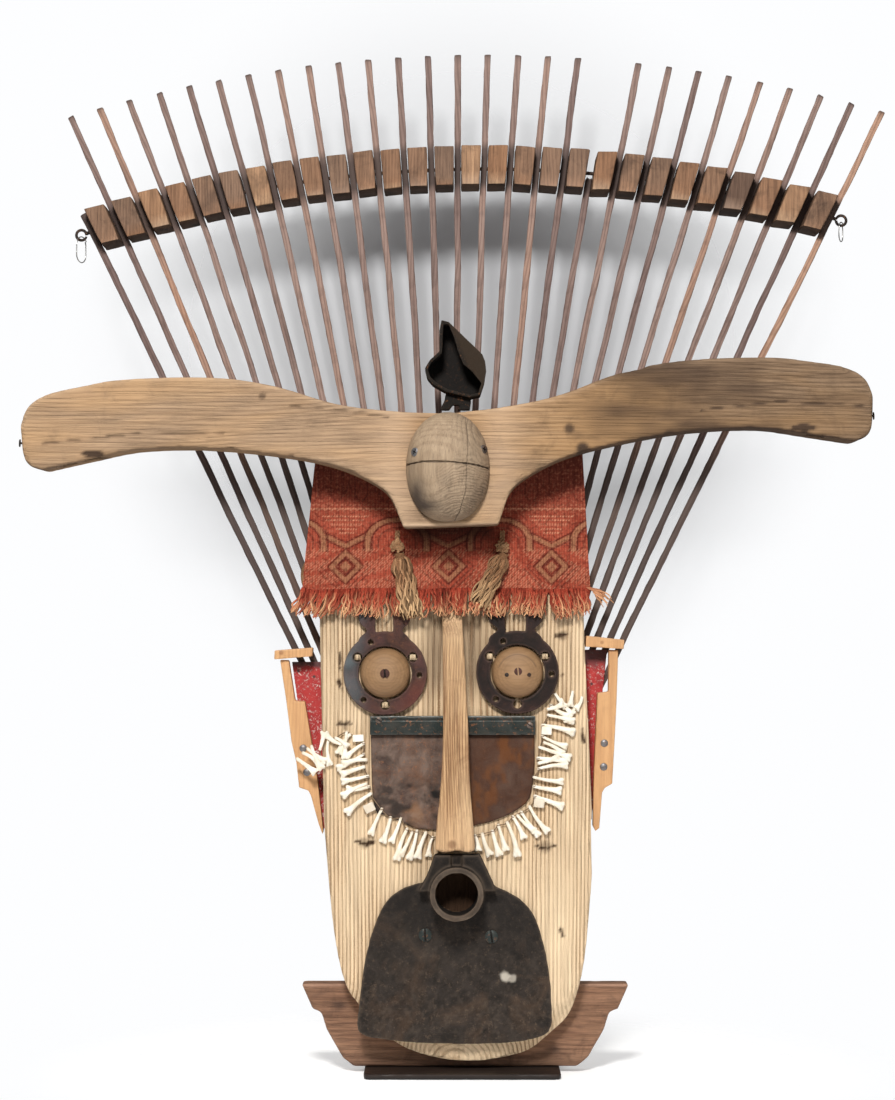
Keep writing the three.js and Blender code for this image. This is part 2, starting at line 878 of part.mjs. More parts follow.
// The root clamp is a batten behind the feet of the tines, with an end block on the board.
const clamp = { z0: 332, z1: 362, left: -149, right: 135.5, endLeft: -140.5, endRight: 127.5, thick: 20 };
const clampFront = fan.plane + fan.width / 2 + GAP;
const clampBack = clampFront + clamp.thick;
add(
  "root_clamp",
  "weathered",
  join(
    box(clamp.left, clamp.right, clampFront, clampBack, clamp.z0, clamp.z1),
    box(clamp.left, clamp.endLeft, board.back + 2 * GAP + ear.leafThick, clampBack, clamp.z0, clamp.z1),
    box(clamp.endRight, clamp.right, board.back + 2 * GAP + ear.leafThick, clampBack, clamp.z0, clamp.z1),
  ),
);

export default mask;
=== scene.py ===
"""Looks of the found-object mask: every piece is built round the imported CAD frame."""
import math

import bmesh
import bpy
import numpy as np
from mathutils import Matrix, Vector


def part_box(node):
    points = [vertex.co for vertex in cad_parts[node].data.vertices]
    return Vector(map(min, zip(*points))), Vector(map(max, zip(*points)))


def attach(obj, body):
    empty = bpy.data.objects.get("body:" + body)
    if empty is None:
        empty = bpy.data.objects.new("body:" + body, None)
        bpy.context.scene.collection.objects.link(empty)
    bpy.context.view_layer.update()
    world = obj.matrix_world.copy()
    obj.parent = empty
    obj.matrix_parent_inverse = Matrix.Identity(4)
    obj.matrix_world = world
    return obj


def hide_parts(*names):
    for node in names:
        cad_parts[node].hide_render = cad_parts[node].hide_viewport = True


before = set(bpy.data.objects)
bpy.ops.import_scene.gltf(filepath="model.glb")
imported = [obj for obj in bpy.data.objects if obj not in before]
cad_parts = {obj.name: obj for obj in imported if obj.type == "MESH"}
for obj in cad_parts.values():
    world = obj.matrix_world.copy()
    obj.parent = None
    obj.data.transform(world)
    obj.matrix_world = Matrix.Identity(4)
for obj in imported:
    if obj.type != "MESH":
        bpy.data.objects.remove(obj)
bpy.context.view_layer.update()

MM = 0.001
ROOT = "root"
TURN = 2 * math.pi


def box_mm(node):
    """Lowest and highest corner of a CAD node, in millimetres."""
    a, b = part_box(node)
    return np.array(a) / MM, np.array(b) / MM


# ---- numbers shared with the CAD model, in millimetres and radians ----
BOARD_FRONT, BOARD_BACK = (corner[1] for corner in box_mm("face_board"))
TINE_PLANE, TINE_WIDTH, TINES, BROKEN = -29.5, 6.8, 29, 19
PIVOT = np.array([-6.1, 99.0])
FIRST_ANGLE, ANGLE_STEP = math.radians(-26.07), math.radians(1.868)
ARCH_CENTRE, ARCH_RADIUS = np.array([24.1, -386.4]), 1364.2
ARCH_RISE, ARCH_DEPTH, BLOCK_GAP = 43.0, 50.0, 0.7
HOE_EYE = (-6.1, 198.5)
EYES = {"left": (-82.2, 430.4), "right": (58.9, 431.4)}


# ---- numpy tools ----
def ease(a, b, x):
    """0 at a and 1 at b, with soft ends."""
    t = np.clip((x - a) / (b - a), 0, 1)
    return t * t * (3 - 2 * t)


def value_noise(p, seed=0):
    """Smooth noise from -1 to 1 at each row of p, with one lattice cell per unit."""
    cell = np.floor(p).astype(np.int64)
    f = p - cell
    f = f * f * (3 - 2 * f)
    total = np.zeros(len(p))
    for corner in np.ndindex(2, 2, 2):
        h = (cell + corner) @ np.array([374761393, 668265263, 2147483647]) + seed * 974634777
        h = (h ^ (h >> 13)) * 1274126177
        h = (h ^ (h >> 16)) & 0xFFFF
        total += np.prod(np.where(corner, f, 1 - f), axis=1) * (h / 32767.5 - 1)
    return total


def fractal(p, seed=0, octaves=3):
    return sum(0.5**k * value_noise(p * 2.0**k, seed + k) for k in range(octaves)) / 1.75


def line_distance(p, route):
    """Distance of each 2-D point of p from a polyline."""
    best = np.full(len(p), 1e9)
    for a, b in zip(np.array(route[:-1], float), np.array(route[1:], float)):
        d = b - a
        t = np.clip(((p - a) @ d) / (d @ d), 0, 1)
        best = np.minimum(best, np.linalg.norm(p - a - t[:, None] * d, axis=1))
    return best


def dot(co, x, z, r):
    """1 in the middle of a round mark on the face, 0 outside it."""
    return ease(r, r * 0.45, np.hypot(co[:, 0] - x, co[:, 2] - z))


def dots(co, *marks):
    return sum(dot(co, *m) for m in marks)


def unit(v):
    return v / np.linalg.norm(v)


def turned(x, z, angle):
    c, s = math.cos(angle), math.sin(angle)
    return x * c - z * s, x * s + z * c


# ---- mesh tools, all in millimetres ----
def loft(rings, closed=False):
    """Joins rings of equal length, rows x points x 3, into one tube."""
    rings = np.asarray(rings, float)
    n, m = rings.shape[:2]
    faces = []
    for k in range(n if closed else n - 1):
        a, b = k * m, (k + 1) % n * m
        faces += [(a + j, a + (j + 1) % m, b + (j + 1) % m, b + j) for j in range(m)]
    if not closed:
        faces += [tuple(range(m))[::-1], tuple(range((n - 1) * m, n * m))]
    return rings.reshape(-1, 3), faces


def sweep(path, radius, sides=8, closed=False, flat=1.0, up=(0, 1, 0)):
    """A tube along a path; radius is one number or one per point, flat squeezes it across."""
    path = np.asarray(path, float)
    tangent = np.roll(path, -1, 0) - np.roll(path, 1, 0) if closed else np.gradient(path, axis=0)
    tangent /= np.linalg.norm(tangent, axis=1)[:, None]
    side = np.cross(tangent, up)
    weak = np.linalg.norm(side, axis=1) < 0.2
    side[weak] = np.cross(tangent[weak], (1, 0, 0))
    side /= np.linalg.norm(side, axis=1)[:, None]
    normal = np.cross(side, tangent)
    radius = np.broadcast_to(np.asarray(radius, float), len(path))[:, None, None]
    a = (np.arange(sides) * 2 * math.pi / sides)[None, :, None]
    ring = np.cos(a) * side[:, None] + flat * np.sin(a) * normal[:, None]
    return loft(path[:, None] + radius * ring, closed)


def spline(points, steps):
    """Catmull-Rom curve through points, steps points per stretch."""
    p = np.asarray(points, float)
    p = np.vstack([2 * p[0] - p[1], p, 2 * p[-1] - p[-2]])
    t = np.arange(steps)[:, None] / steps
    out = []
    for k in range(1, len(p) - 2):
        a, b, c, d = p[k - 1 : k + 3]
        out.append(0.5 * (2 * b + (c - a) * t + (2 * a - 5 * b + 4 * c - d) * t**2
                          + (3 * b - a - 3 * c + d) * t**3))
    return np.vstack([*out, p[-2][None]])


def lathe(profile, centre, sides=32, axis=(0, -1, 0)):
    """Turns a profile of (radius, height) round an axis through centre."""
    axis = unit(np.array(axis, float))
    side = unit(np.cross(axis, (0, 0, 1) if abs(axis[2]) < 0.9 else (1, 0, 0)))
    other = np.cross(axis, side)
    a = (np.arange(sides) * 2 * math.pi / sides)[:, None]
    return loft([np.array(centre) + h * axis + max(r, 0.02) * (np.cos(a) * side + np.sin(a) * other)
                 for r, h in profile])


def grid_faces(rows, cols):
    """Four-sided faces of a grid of points kept row by row, and the loop round its rim."""
    faces = [(q, q + 1, q + cols + 1, q + cols)
             for i in range(rows - 1) for q in range(i * cols, i * cols + cols - 1)]
    last = (rows - 1) * cols
    rim = [*range(cols), *range(2 * cols - 1, last + cols, cols),
           *range(last + cols - 2, last - 1, -1), *range(last - cols, 0, -cols)]
    return faces, rim


def merge(parts):
    verts, faces, at = [], [], 0
    for v, f in parts:
        verts.append(v)
        faces += [tuple(i + at for i in face) for face in f]
        at += len(v)
    return np.vstack(verts), faces


def joined(lists):
    """Joins the marks of many parts, given part by part, into one array for each mark."""
    return [np.concatenate(values) for values in zip(*lists)]


def new_object(name, data):
    obj = bpy.data.objects.new(name, data)
    bpy.context.scene.collection.objects.link(obj)
    return obj


def finish_piece(obj, look, nodes, body=ROOT, sharp=38, marks=None):
    """Marks the points, gives the piece its look, and lets it ride on a body in place of nodes."""
    for key, values in (marks or {}).items():
        obj.data.attributes.new(key, "FLOAT", "POINT").data.foreach_set(
            "value", np.asarray(values, np.float32))
    obj.data.materials.clear()
    obj.data.materials.append(look)
    obj.data.shade_smooth()
    obj.data.set_sharp_from_angle(angle=math.radians(sharp))
    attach(obj, body)
    if nodes:
        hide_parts(*nodes)
    return obj


def piece(name, shape, look, slot, nodes=(), body=ROOT, sharp=38, **marks):
    """A new object from (vertices in mm, faces)."""
    mesh = bpy.data.meshes.new(name)
    mesh.from_pydata([tuple(v) for v in np.asarray(shape[0]) * MM], [], shape[1])
    b = bmesh.new()
    b.from_mesh(mesh)
    bmesh.ops.recalc_face_normals(b, faces=b.faces)
    b.to_mesh(mesh)
    b.free()
    return finish_piece(new_object(name, mesh), look, nodes, body, sharp, marks)


class Skin:
    """A remeshed copy of a CAD node with softened edges: co holds its points in mm, and x, y and z
    look into it; no holds its normals, and edge how much each point lies on an edge."""

    def __init__(self, name, node, voxel, smooth):
        self.node = node
        self.obj = obj = new_object(name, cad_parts[node].data.copy())
        m = obj.modifiers.new("voxels", "REMESH")
        m.mode, m.voxel_size, m.adaptivity = "VOXEL", voxel * MM, 0
        m = obj.modifiers.new("soft", "SMOOTH")
        m.factor, m.iterations = 0.5, smooth
        deps = bpy.context.evaluated_depsgraph_get()
        made = bpy.data.meshes.new_from_object(obj.evaluated_get(deps))
        obj.modifiers.clear()
        obj.data = made
        obj.data.name = name
        co, no = (np.empty(len(made.vertices) * 3) for _ in range(2))
        made.vertices.foreach_get("co", co)
        made.vertices.foreach_get("normal", no)
        self.co, self.no = co.reshape(-1, 3) / MM, no.reshape(-1, 3)
        self.x, self.y, self.z = self.co.T
        out = self.no[:, 1]
        self.edge = 2 * np.abs(out) * np.sqrt(np.clip(1 - out**2, 0, 1))
        self.low, self.high = box_mm(node)

    def wear(self, wave, wave_size, chip, chip_size, seed, stretch=(1, 1, 1)):
        """Low swells all over, and chips along the edges as deep as bite says."""
        swell = wave * fractal(self.co * np.array(stretch, float) / wave_size + seed, seed)
        spread = fractal(self.co / chip_size + seed * 1.7, seed + 20)
        self.bite = ease(0.1, 0.75, spread) * self.edge
        self.push(swell - chip * self.bite)
        return self

    def push(self, out):
        self.co += self.no * out[:, None]

    def done(self, look, slot, **marks):
        self.obj.data.vertices.foreach_set("co", (self.co * MM).astype(np.float32).ravel())
        self.obj.data.update()
        marks = {key: np.clip(np.broadcast_to(values, len(self.co)), 0, 1)
                 for key, values in marks.items()}
        finish_piece(self.obj, look, (self.node,), marks=marks)


# ---- shader tools ----
class Look:
    """One procedural material, put together node by node."""

    def __init__(self, name, roughness=0.8, metallic=0.0, specular=0.5):
        self.material = bpy.data.materials.new(name)
        self.material.use_nodes = True
        self.tree = self.material.node_tree
        self.shader = self.tree.nodes["Principled BSDF"]
        self.fixed({"Roughness": roughness, "Metallic": metallic, "Specular IOR Level": specular})
        self.place = self.tree.nodes.new("ShaderNodeTexCoord").outputs["Object"]
        self.height = None

    def fixed(self, values):
        """Sets sockets of the shader that are the same all over."""
        for key, value in values.items():
            self.shader.inputs[key].default_value = value

    def put(self, kind, settings=None, **inputs):
        """A new node; inputs are named with _ for a space, or i and a number."""
        node = self.tree.nodes.new("ShaderNode" + kind)
        for key, value in (settings or {}).items():
            setattr(node, key, value)
        for key, value in inputs.items():
            socket = node.inputs[int(key[1:]) if key[1:].isdigit() else key.replace("_", " ")]
            if isinstance(value, bpy.types.NodeSocket):
                self.tree.links.new(value, socket)
            else:
                socket.default_value = value
        return node

    def mapped(self, scale, shift=(0, 0, 0)):
        return self.put("Mapping", Vector=self.place, Scale=scale, Location=shift).outputs[0]

    def noise(self, scale, detail=3.0, rough=0.55, distort=0.0, at=None, out="Fac"):
        return self.put("TexNoise", Vector=at or self.place, Scale=scale, Detail=detail,
                        Roughness=rough, Distortion=distort).outputs[out]

    def bands(self, scale, distort, detail, coarse, axis, at, kind="BANDS"):
        settings = {"wave_type": kind, kind.lower() + "_direction": axis}
        return self.put("TexWave", settings, Vector=at, Scale=scale, Distortion=distort,
                        Detail=detail, Detail_Scale=coarse).outputs["Fac"]

    def value(self, name):
        return self.put("Attribute", {"attribute_name": name}).outputs["Fac"]

    def ramp(self, fac, *stops):
        node = self.put("ValToRGB", Fac=fac)
        stones = node.color_ramp.elements
        while len(stones) < len(stops):
            stones.new(0.5)
        for stone, (at, colour) in zip(stones, stops):
            stone.position = at
            stone.color = (*colour, 1) if hasattr(colour, "__len__") else (colour,) * 3 + (1,)
        return node.outputs["Color"]

    def rise(self, fac, start, end, amount=None):
        """Fac made 0 at start and 1 at end, times amount."""
        out = self.ramp(fac, *sorted([(start, 0.0), (end, 1.0)]))
        return out if amount is None else self.math("MULTIPLY", out, amount)

    def mix(self, fac, a, b, mode="MIX"):
        a, b = ((*c, 1) if isinstance(c, tuple) and len(c) == 3 else c for c in (a, b))
        settings = {"data_type": "RGBA", "blend_type": mode}
        return self.put("Mix", settings, i0=fac, i6=a, i7=b).outputs[2]

    def math(self, operation, a, b=0.0, clamp=False):
        return self.put("Math", {"operation": operation, "use_clamp": clamp}, i0=a, i1=b).outputs[0]

    def vector(self, operation, a, b, out=0):
        return self.put("VectorMath", {"operation": operation}, i0=a, i1=b).outputs[out]

    def fade(self, value, start, end, low=0.0, high=1.0):
        return self.put("MapRange", {"interpolation_type": "SMOOTHSTEP"}, Value=value,
                        From_Min=start, From_Max=end, To_Min=low, To_Max=high).outputs[0]

    def bump(self, height, distance, strength=1.0):
        """Adds a bump on top of the ones before; distance is in mm."""
        extra = {} if self.height is None else {"Normal": self.height}
        self.height = self.put("Bump", Height=height, Distance=distance * MM, Strength=strength,
                               **extra).outputs[0]

    def done(self, colour, roughness=None, metallic=None):
        for key, socket in (("Base Color", colour), ("Roughness", roughness),
                            ("Metallic", metallic), ("Normal", self.height)):
            if socket is not None:
                self.tree.links.new(socket, self.shader.inputs[key])
        return self.material


def wood(name, early, late, along="Z", ring=5.0, ring_axis=(0, 120), patch=None,
         dirt=(0.1, 0.07, 0.05), rough=0.75, ridge=0.25, contrast=0.8, fibre=0.5, tinted=False,
         warp=1.0, grime=0.35, line=0.45, lines=0.0):
    """Weathered wood: rings round a far pith, fine fibres along the grain, patches and dirt.
    Marks on the mesh: dark stains it and on some pieces paints shade, pale bleaches it and on the
    yoke's pad paints a highlight, tint shifts it."""
    s = Look(name, rough, specular=0.5 * (1 - rough) + 0.06)
    axis = "XYZ".index(along)
    fine, slow, thin = ([k if n == axis else 1.0 for n in range(3)] for k in (0.045, 0.25, 0.02))
    pith = [-k * MM for k in ring_axis]
    pith.insert(axis, 0.0)
    # Growth rings, pushed about slowly along the grain.
    wander = s.noise(9.0, 2.0, 0.5, at=s.mapped(slow), out="Color")
    wander = s.vector("SUBTRACT", wander, (0.5, 0.5, 0.5))
    wander = s.put("VectorMath", {"operation": "SCALE"}, i0=wander, Scale=0.045 * warp).outputs[0]
    moved = s.vector("ADD", s.mapped((1, 1, 1), pith), wander)
    rings = s.bands(TURN / (20 * ring * MM), 1.2, 3.0, 12.0, along, moved, "RINGS")
    fibres = s.noise(900, 3.0, 0.7, 0.0, s.mapped(fine))
    streaks = s.noise(160, 3.0, 0.6, 0.3, s.mapped(fine))
    patches = s.noise(14, 3.0, 0.6, 0.4, s.mapped(slow))
    late_wood = s.rise(rings, line, 0.97)
    even = s.ramp(s.noise(40, 2.0, 0.6, 0.0, s.mapped(slow)), (0.3, 0.35), (0.65, 1.0))
    colour = s.mix(s.math("MULTIPLY", s.math("MULTIPLY", late_wood, even), contrast), early, late)
    if lines:
        hair = s.ramp(s.noise(300, 2.0, 0.5, 0.0, s.mapped(thin)),
                      (0.455, 0.0), (0.49, 1.0), (0.51, 1.0), (0.545, 0.0))
        colour = s.mix(s.math("MULTIPLY", s.math("MULTIPLY", hair, even), lines), colour, dirt)
        s.bump(hair, -0.5, 0.8)
    colour = s.mix(s.rise(streaks, 0.35, 0.75, 0.45 * fibre), colour, late, "MULTIPLY")
    colour = s.mix(s.rise(fibres, 0.45, 0.72, 0.6 * fibre), colour, dirt)
    if patch is not None:
        colour = s.mix(s.rise(patches, 0.45, 0.68, 0.75), colour, patch)
    colour = s.mix(s.rise(s.noise(30, 4.0, 0.65, 0.6), 0.52, 0.78, grime), colour, dirt)
    if tinted:
        tints = s.ramp(s.value("tint"), (0.0, (0.55, 0.50, 0.52)), (0.35, (1, 0.93, 0.9)),
                       (0.7, (1.3, 1.02, 0.80)), (1.0, (2.1, 1.95, 1.65)))
        colour = s.mix(1.0, colour, tints, "MULTIPLY")
    colour = s.mix(s.value("pale"), colour, tuple(min(1.0, 1.35 * c + 0.06) for c in early))
    colour = s.mix(s.value("dark"), colour, dirt)
    s.bump(late_wood, ridge, 0.9)
    s.bump(fibres, 0.12, 0.8)
    s.bump(streaks, 0.3, 0.7)
    return s.done(colour, s.ramp(patches, (0.3, rough - 0.1), (0.7, min(1.0, rough + 0.1))))


def iron(name, base, shade, rust, amount=0.5, rough=0.6, metallic=0.5, pit=0.35, scale=1.0,
         spots=(0.3, 0.12, 0.05), specks=0.5, edge=None, side=None, warm=None):
    """Old iron: mottled skin, rust blooms, pits and rubbed edges."""
    s = Look(name, rough, metallic, 0.15)
    mottle = s.noise(55 * scale, 6.0, 0.65, 0.5)
    fine = s.noise(650 * scale, 4.0, 0.7)
    pits = s.put("TexVoronoi", {"feature": "F1"}, Vector=s.place, Scale=520 * scale,
                 Randomness=1.0).outputs["Distance"]
    colour = s.mix(s.rise(mottle, 0.35, 0.65), base, shade)
    rusty = s.rise(s.noise(22 * scale, 5.0, 0.7, 0.8), 0.5, 0.66, amount)
    colour = s.mix(rusty, colour, rust)
    colour = s.mix(s.rise(s.noise(240 * scale, 3.0, 0.8), 0.57, 0.66, specks), colour, spots)
    # Near black for the dark mark, which paints shade in slots, bores and hollows and also darkens
    # stains.
    painted_shade_and_soot = (0.012, 0.010, 0.009)
    for key, other in (("side", side), ("warm", warm), ("dark", painted_shade_and_soot), ("edge", edge)):
        if other is not None:
            colour = s.mix(s.value(key), colour, other)
    s.bump(mottle, 0.7, 0.7)
    s.bump(s.rise(pits, 0.0, 0.35), pit, 0.8)
    s.bump(fine, 0.12, 0.7)
    return s.done(colour, s.ramp(fine, (0.3, rough - 0.12), (0.7, min(1.0, rough + 0.2))),
                  s.math("SUBTRACT", metallic, s.math("MULTIPLY", rusty, metallic), True))


# ---- camera, light and stage ----
WALL = 86.0


def aimed(name, data, place, aim):
    obj = new_object(name, data)
    obj.location = place
    obj.rotation_mode = "QUATERNION"
    obj.rotation_quaternion = (Vector(aim) - Vector(place)).to_track_quat("-Z", "Y")
    return obj


def make_camera():
    data = bpy.data.cameras.new("camera")
    distance, view_height = 2.9, 1.177
    data.sensor_fit, data.sensor_width = "AUTO", 36
    data.lens = 36 * distance / view_height
    front = BOARD_FRONT * MM
    bpy.context.scene.camera = aimed("camera", data, (-0.013, front - distance, 0.487),
                                     (-0.0157, front, 0.562))


def area_light(name, place, aim, size, watts, colour=(1, 1, 1)):
    data = bpy.data.lights.new(name, "AREA")
    data.shape, data.size, data.energy, data.color = "DISK", size, watts, colour
    aimed(name, data, place, aim)


def make_world():
    """Pale where the camera sees it; as a light, dim below and brighter above."""
    world = bpy.context.scene.world = bpy.data.worlds.new("pale")
    world.use_nodes = True
    tree = world.node_tree
    new, link = tree.nodes.new, tree.links.new
    seen = tree.nodes["Background"]
    seen.inputs["Color"].default_value = (0.985, 0.99, 1.0, 1)
    sky, up = new("ShaderNodeBackground"), new("ShaderNodeSeparateXYZ")
    link(new("ShaderNodeTexCoord").outputs["Generated"], up.inputs[0])
    dome = new("ShaderNodeMapRange")
    for key, value in (("From Min", -0.35), ("From Max", 0.45), ("To Min", 0.05), ("To Max", 0.40)):
        dome.inputs[key].default_value = value
    link(up.outputs["Z"], dome.inputs["Value"])
    link(dome.outputs[0], sky.inputs["Strength"])
    ray, choose = new("ShaderNodeLightPath"), new("ShaderNodeMixShader")
    link(ray.outputs["Is Camera Ray"], choose.inputs[0])
    link(sky.outputs[0], choose.inputs[1])
    link(seen.outputs[0], choose.inputs[2])
    link(choose.outputs[0], tree.nodes["World Output"].inputs[0])
    bpy.context.scene.view_settings.view_transform = "Standard"


def stage_plane(name, size, place, turn, look, colour, glow, alpha):
    look.fixed({"Base Color": (*colour, 1), "Emission Color": (1, 1, 1, 1),
                "Emission Strength": glow})
    look.tree.links.new(alpha, look.shader.inputs["Alpha"])
    bpy.ops.mesh.primitive_plane_add(size=size, location=place, rotation=turn)
    plane = bpy.context.object
    plane.name = name
    plane.data.materials.append(look.material)


def make_floor():
    """It throws light back over a wide circle but is seen only close to the foot."""
    s = Look("floor_paper", 0.9)
    far = s.put("VectorMath", {"operation": "LENGTH"}, i0=s.place).outputs["Value"]
    near, wide = s.fade(far, 0.12, 0.5, 1.0, 0.0), s.fade(far, 0.6, 1.6, 1.0, 0.0)
    seen = s.put("LightPath").outputs["Is Camera Ray"]
    fade = s.math("ADD", s.math("MULTIPLY", near, seen),
                  s.math("MULTIPLY", wide, s.math("SUBTRACT", 1.0, seen)))
    stage_plane("floor", 10, (0, 0, -0.0003), (0, 0, 0), s, (0.93, 0.93, 0.93), 0.3, fade)


def make_wall():
    """A white wall close behind takes the shadows. It can be seen from the front only, and it
    neither blocks nor throws light."""
    s = Look("wall_paint", 0.9, specular=0.0)
    middle = s.vector("MULTIPLY", s.vector("SUBTRACT", s.place, (0, -0.70, 0)), (2.3, 2.3, 0))
    far = s.put("VectorMath", {"operation": "LENGTH"}, i0=middle).outputs["Value"]
    fade = s.fade(far, 0.25, 1.05, 1.0, 0.0)
    seen = s.put("LightPath").outputs["Is Camera Ray"]
    side = s.put("NewGeometry").outputs
    facing = s.fade(s.vector("DOT_PRODUCT", side["Normal"], side["Incoming"], "Value"), 0.5, 0.8)
    ahead = s.math("SUBTRACT", 1.0, side["Backfacing"])
    shown = s.math("MULTIPLY", s.math("MULTIPLY", fade, seen), s.math("MULTIPLY", facing, ahead))
    stage_plane("wall", 3, (0, WALL * MM, 1.5), (math.pi / 2, 0, 0), s, (0.50, 0.51, 0.53), 0.03,
                shown)


make_camera()
make_world()
area_light("key", (-0.25, -2.4, 2.0), (0, 0, 0.6), 0.5, 84, (1.0, 0.985, 0.96))
area_light("fill", (1.9, -2.4, 1.0), (0, 0, 0.5), 1.2, 9)
area_light("rim", (-2.2, 0.6, 1.6), (0, 0, 0.7), 0.8, 13)
make_floor()
make_wall()

# ---- woods and irons ----
PINE = wood("face_pine", (0.74, 0.545, 0.345), (0.28, 0.15, 0.065), "Z", 3.9, (-5, -28),
            patch=(0.82, 0.635, 0.42), dirt=(0.05, 0.026, 0.014), rough=0.8, ridge=0.8, grime=0.1,
            fibre=0.22, line=0.58, warp=0.35, contrast=0.85, lines=0.16)
YOKE = wood("yoke_wood", (0.41, 0.272, 0.163), (0.15, 0.088, 0.05), "X", 3.6, (-40, 600),
            patch=(0.50, 0.29, 0.13), dirt=(0.070, 0.043, 0.028), rough=0.8, ridge=0.35, grime=0.5,
            contrast=0.6, line=0.5, fibre=1.0, lines=0.3)
EGG = wood("head_wood", (0.42, 0.31, 0.205), (0.20, 0.13, 0.08), "Z", 3.4, (-5, -95),
           patch=(0.36, 0.235, 0.14), dirt=(0.075, 0.055, 0.042), ridge=0.25, grime=0.35,
           warp=0.6, contrast=0.3, fibre=0.7, line=0.5)
BLOCK = wood("block_wood", (0.235, 0.155, 0.105), (0.13, 0.08, 0.055), "Z", 3.2, (600, 300),
             dirt=(0.03, 0.02, 0.016), rough=0.7, ridge=0.15, tinted=True, grime=0.8, contrast=0.6,
             fibre=0.9)
TINE = wood("tine_wood", (0.33, 0.24, 0.205), (0.16, 0.105, 0.088), "Z", 3.0, (15, 12),
            dirt=(0.05, 0.035, 0.03), rough=0.65, ridge=0.15, tinted=True, grime=0.5)
HANDLE = wood("handle_wood", (0.61, 0.385, 0.20), (0.24, 0.115, 0.05), "Z", 2.6, (60, -20),
              patch=(0.66, 0.46, 0.27), dirt=(0.14, 0.055, 0.022), rough=0.6, ridge=0.3,
              grime=0.6, fibre=1.0, contrast=0.65, line=0.4, lines=0.45)
DOME = wood("dome_wood", (0.30, 0.175, 0.085), (0.20, 0.105, 0.045), "X", 3.0, (300, -60),
            dirt=(0.12, 0.065, 0.035), rough=0.6, ridge=0.05, grime=0.35, contrast=0.22, fibre=0.5)
BEECH = wood("beech", (0.60, 0.34, 0.155), (0.40, 0.195, 0.08), "Z", 3.5, (150, 300),
             dirt=(0.22, 0.09, 0.04), rough=0.5, ridge=0.06, grime=0.25, contrast=0.5)
BASE = wood("base_wood", (0.30, 0.16, 0.095), (0.12, 0.058, 0.035), "X", 4.5, (80, -60),
            patch=(0.40, 0.23, 0.14), dirt=(0.05, 0.027, 0.02), rough=0.7, ridge=0.25, grime=0.8,
            contrast=0.45, fibre=1.0, lines=0.3)
FOOT = wood("foot_wood", (0.026, 0.016, 0.012), (0.014, 0.009, 0.008), "X", 6.0, (0, -90),
            dirt=(0.008, 0.006, 0.005), rough=0.5, ridge=0.08)

HOE = iron("hoe_iron", (0.015, 0.012, 0.010), (0.036, 0.028, 0.023), (0.085, 0.05, 0.03), 0.4,
           0.7, 0.1, 0.45, edge=(0.17, 0.125, 0.09), spots=(0.15, 0.10, 0.065), specks=0.3,
           warm=(0.42, 0.38, 0.32))
CREST = iron("crest_iron", (0.006, 0.0055, 0.005), (0.014, 0.012, 0.010), (0.04, 0.025, 0.017), 0.3,
             0.85, 0.0, 0.3, edge=(0.04, 0.03, 0.022), side=(0.03, 0.02, 0.013))
PLATE = iron("plate_rust", (0.088, 0.041, 0.036), (0.033, 0.021, 0.019), (0.11, 0.045, 0.028), 0.6,
             0.65, 0.15, 0.45, edge=(0.15, 0.09, 0.07), side=(0.15, 0.195, 0.21),
             warm=(0.135, 0.036, 0.028), specks=0.2)
BLADE = iron("blade_iron", (0.165, 0.115, 0.09), (0.062, 0.038, 0.030), (0.20, 0.085, 0.04), 0.4,
             0.55, 0.1, 0.25, side=(0.050, 0.017, 0.007), edge=(0.30, 0.15, 0.07),
             warm=(0.15, 0.050, 0.012), specks=0.35)
SPINE = iron("spine_iron", (0.016, 0.024, 0.023), (0.038, 0.043, 0.040), (0.09, 0.06, 0.04), 0.25,
             0.4, 0.4, 0.2, edge=(0.13, 0.13, 0.12))
STEEL = iron("screw_steel", (0.16, 0.14, 0.125), (0.07, 0.06, 0.055), (0.14, 0.07, 0.04), 0.4,
             0.45, 0.8, 0.1, scale=2.0)
BRIGHT = iron("bright_steel", (0.62, 0.62, 0.60), (0.35, 0.35, 0.34), (0.2, 0.15, 0.1), 0.1,
              0.25, 1.0, 0.03, scale=2.0)
RIVET = iron("rivet_steel", (0.28, 0.28, 0.28), (0.17, 0.17, 0.18), (0.14, 0.09, 0.06), 0.3,
             0.4, 0.8, 0.06, scale=2.0)
NAIL = iron("nail_iron", (0.02, 0.018, 0.017), (0.05, 0.04, 0.035), (0.1, 0.05, 0.03), 0.4,
            0.6, 0.6, 0.1, scale=2.0)


# ---- tines ----
def direction(i):
    a = FIRST_ANGLE + i * ANGLE_STEP
    return np.array([math.sin(a), math.cos(a)])


def arch_reach(u):
    """Distance from the pivot to the arch along u."""
    d = PIVOT - ARCH_CENTRE
    b = d @ u
    return -b + math.sqrt(b * b - d @ d + ARCH_RADIUS**2)


def tine_outline():
    """A square with cut corners, three points to a corner."""
    half, corner = TINE_WIDTH / 2, 1.0
    a, b, between = (half - corner, half), (half, half - corner), (half - 0.35,) * 2
    outline = []
    for sx, sy in ((1, 1), (-1, 1), (-1, -1), (1, -1)):
        pair = [b, between, a] if sx * sy > 0 else [a, between, b]
        outline += [(sx * p, sy * q) for p, q in pair]
    return np.array(outline)


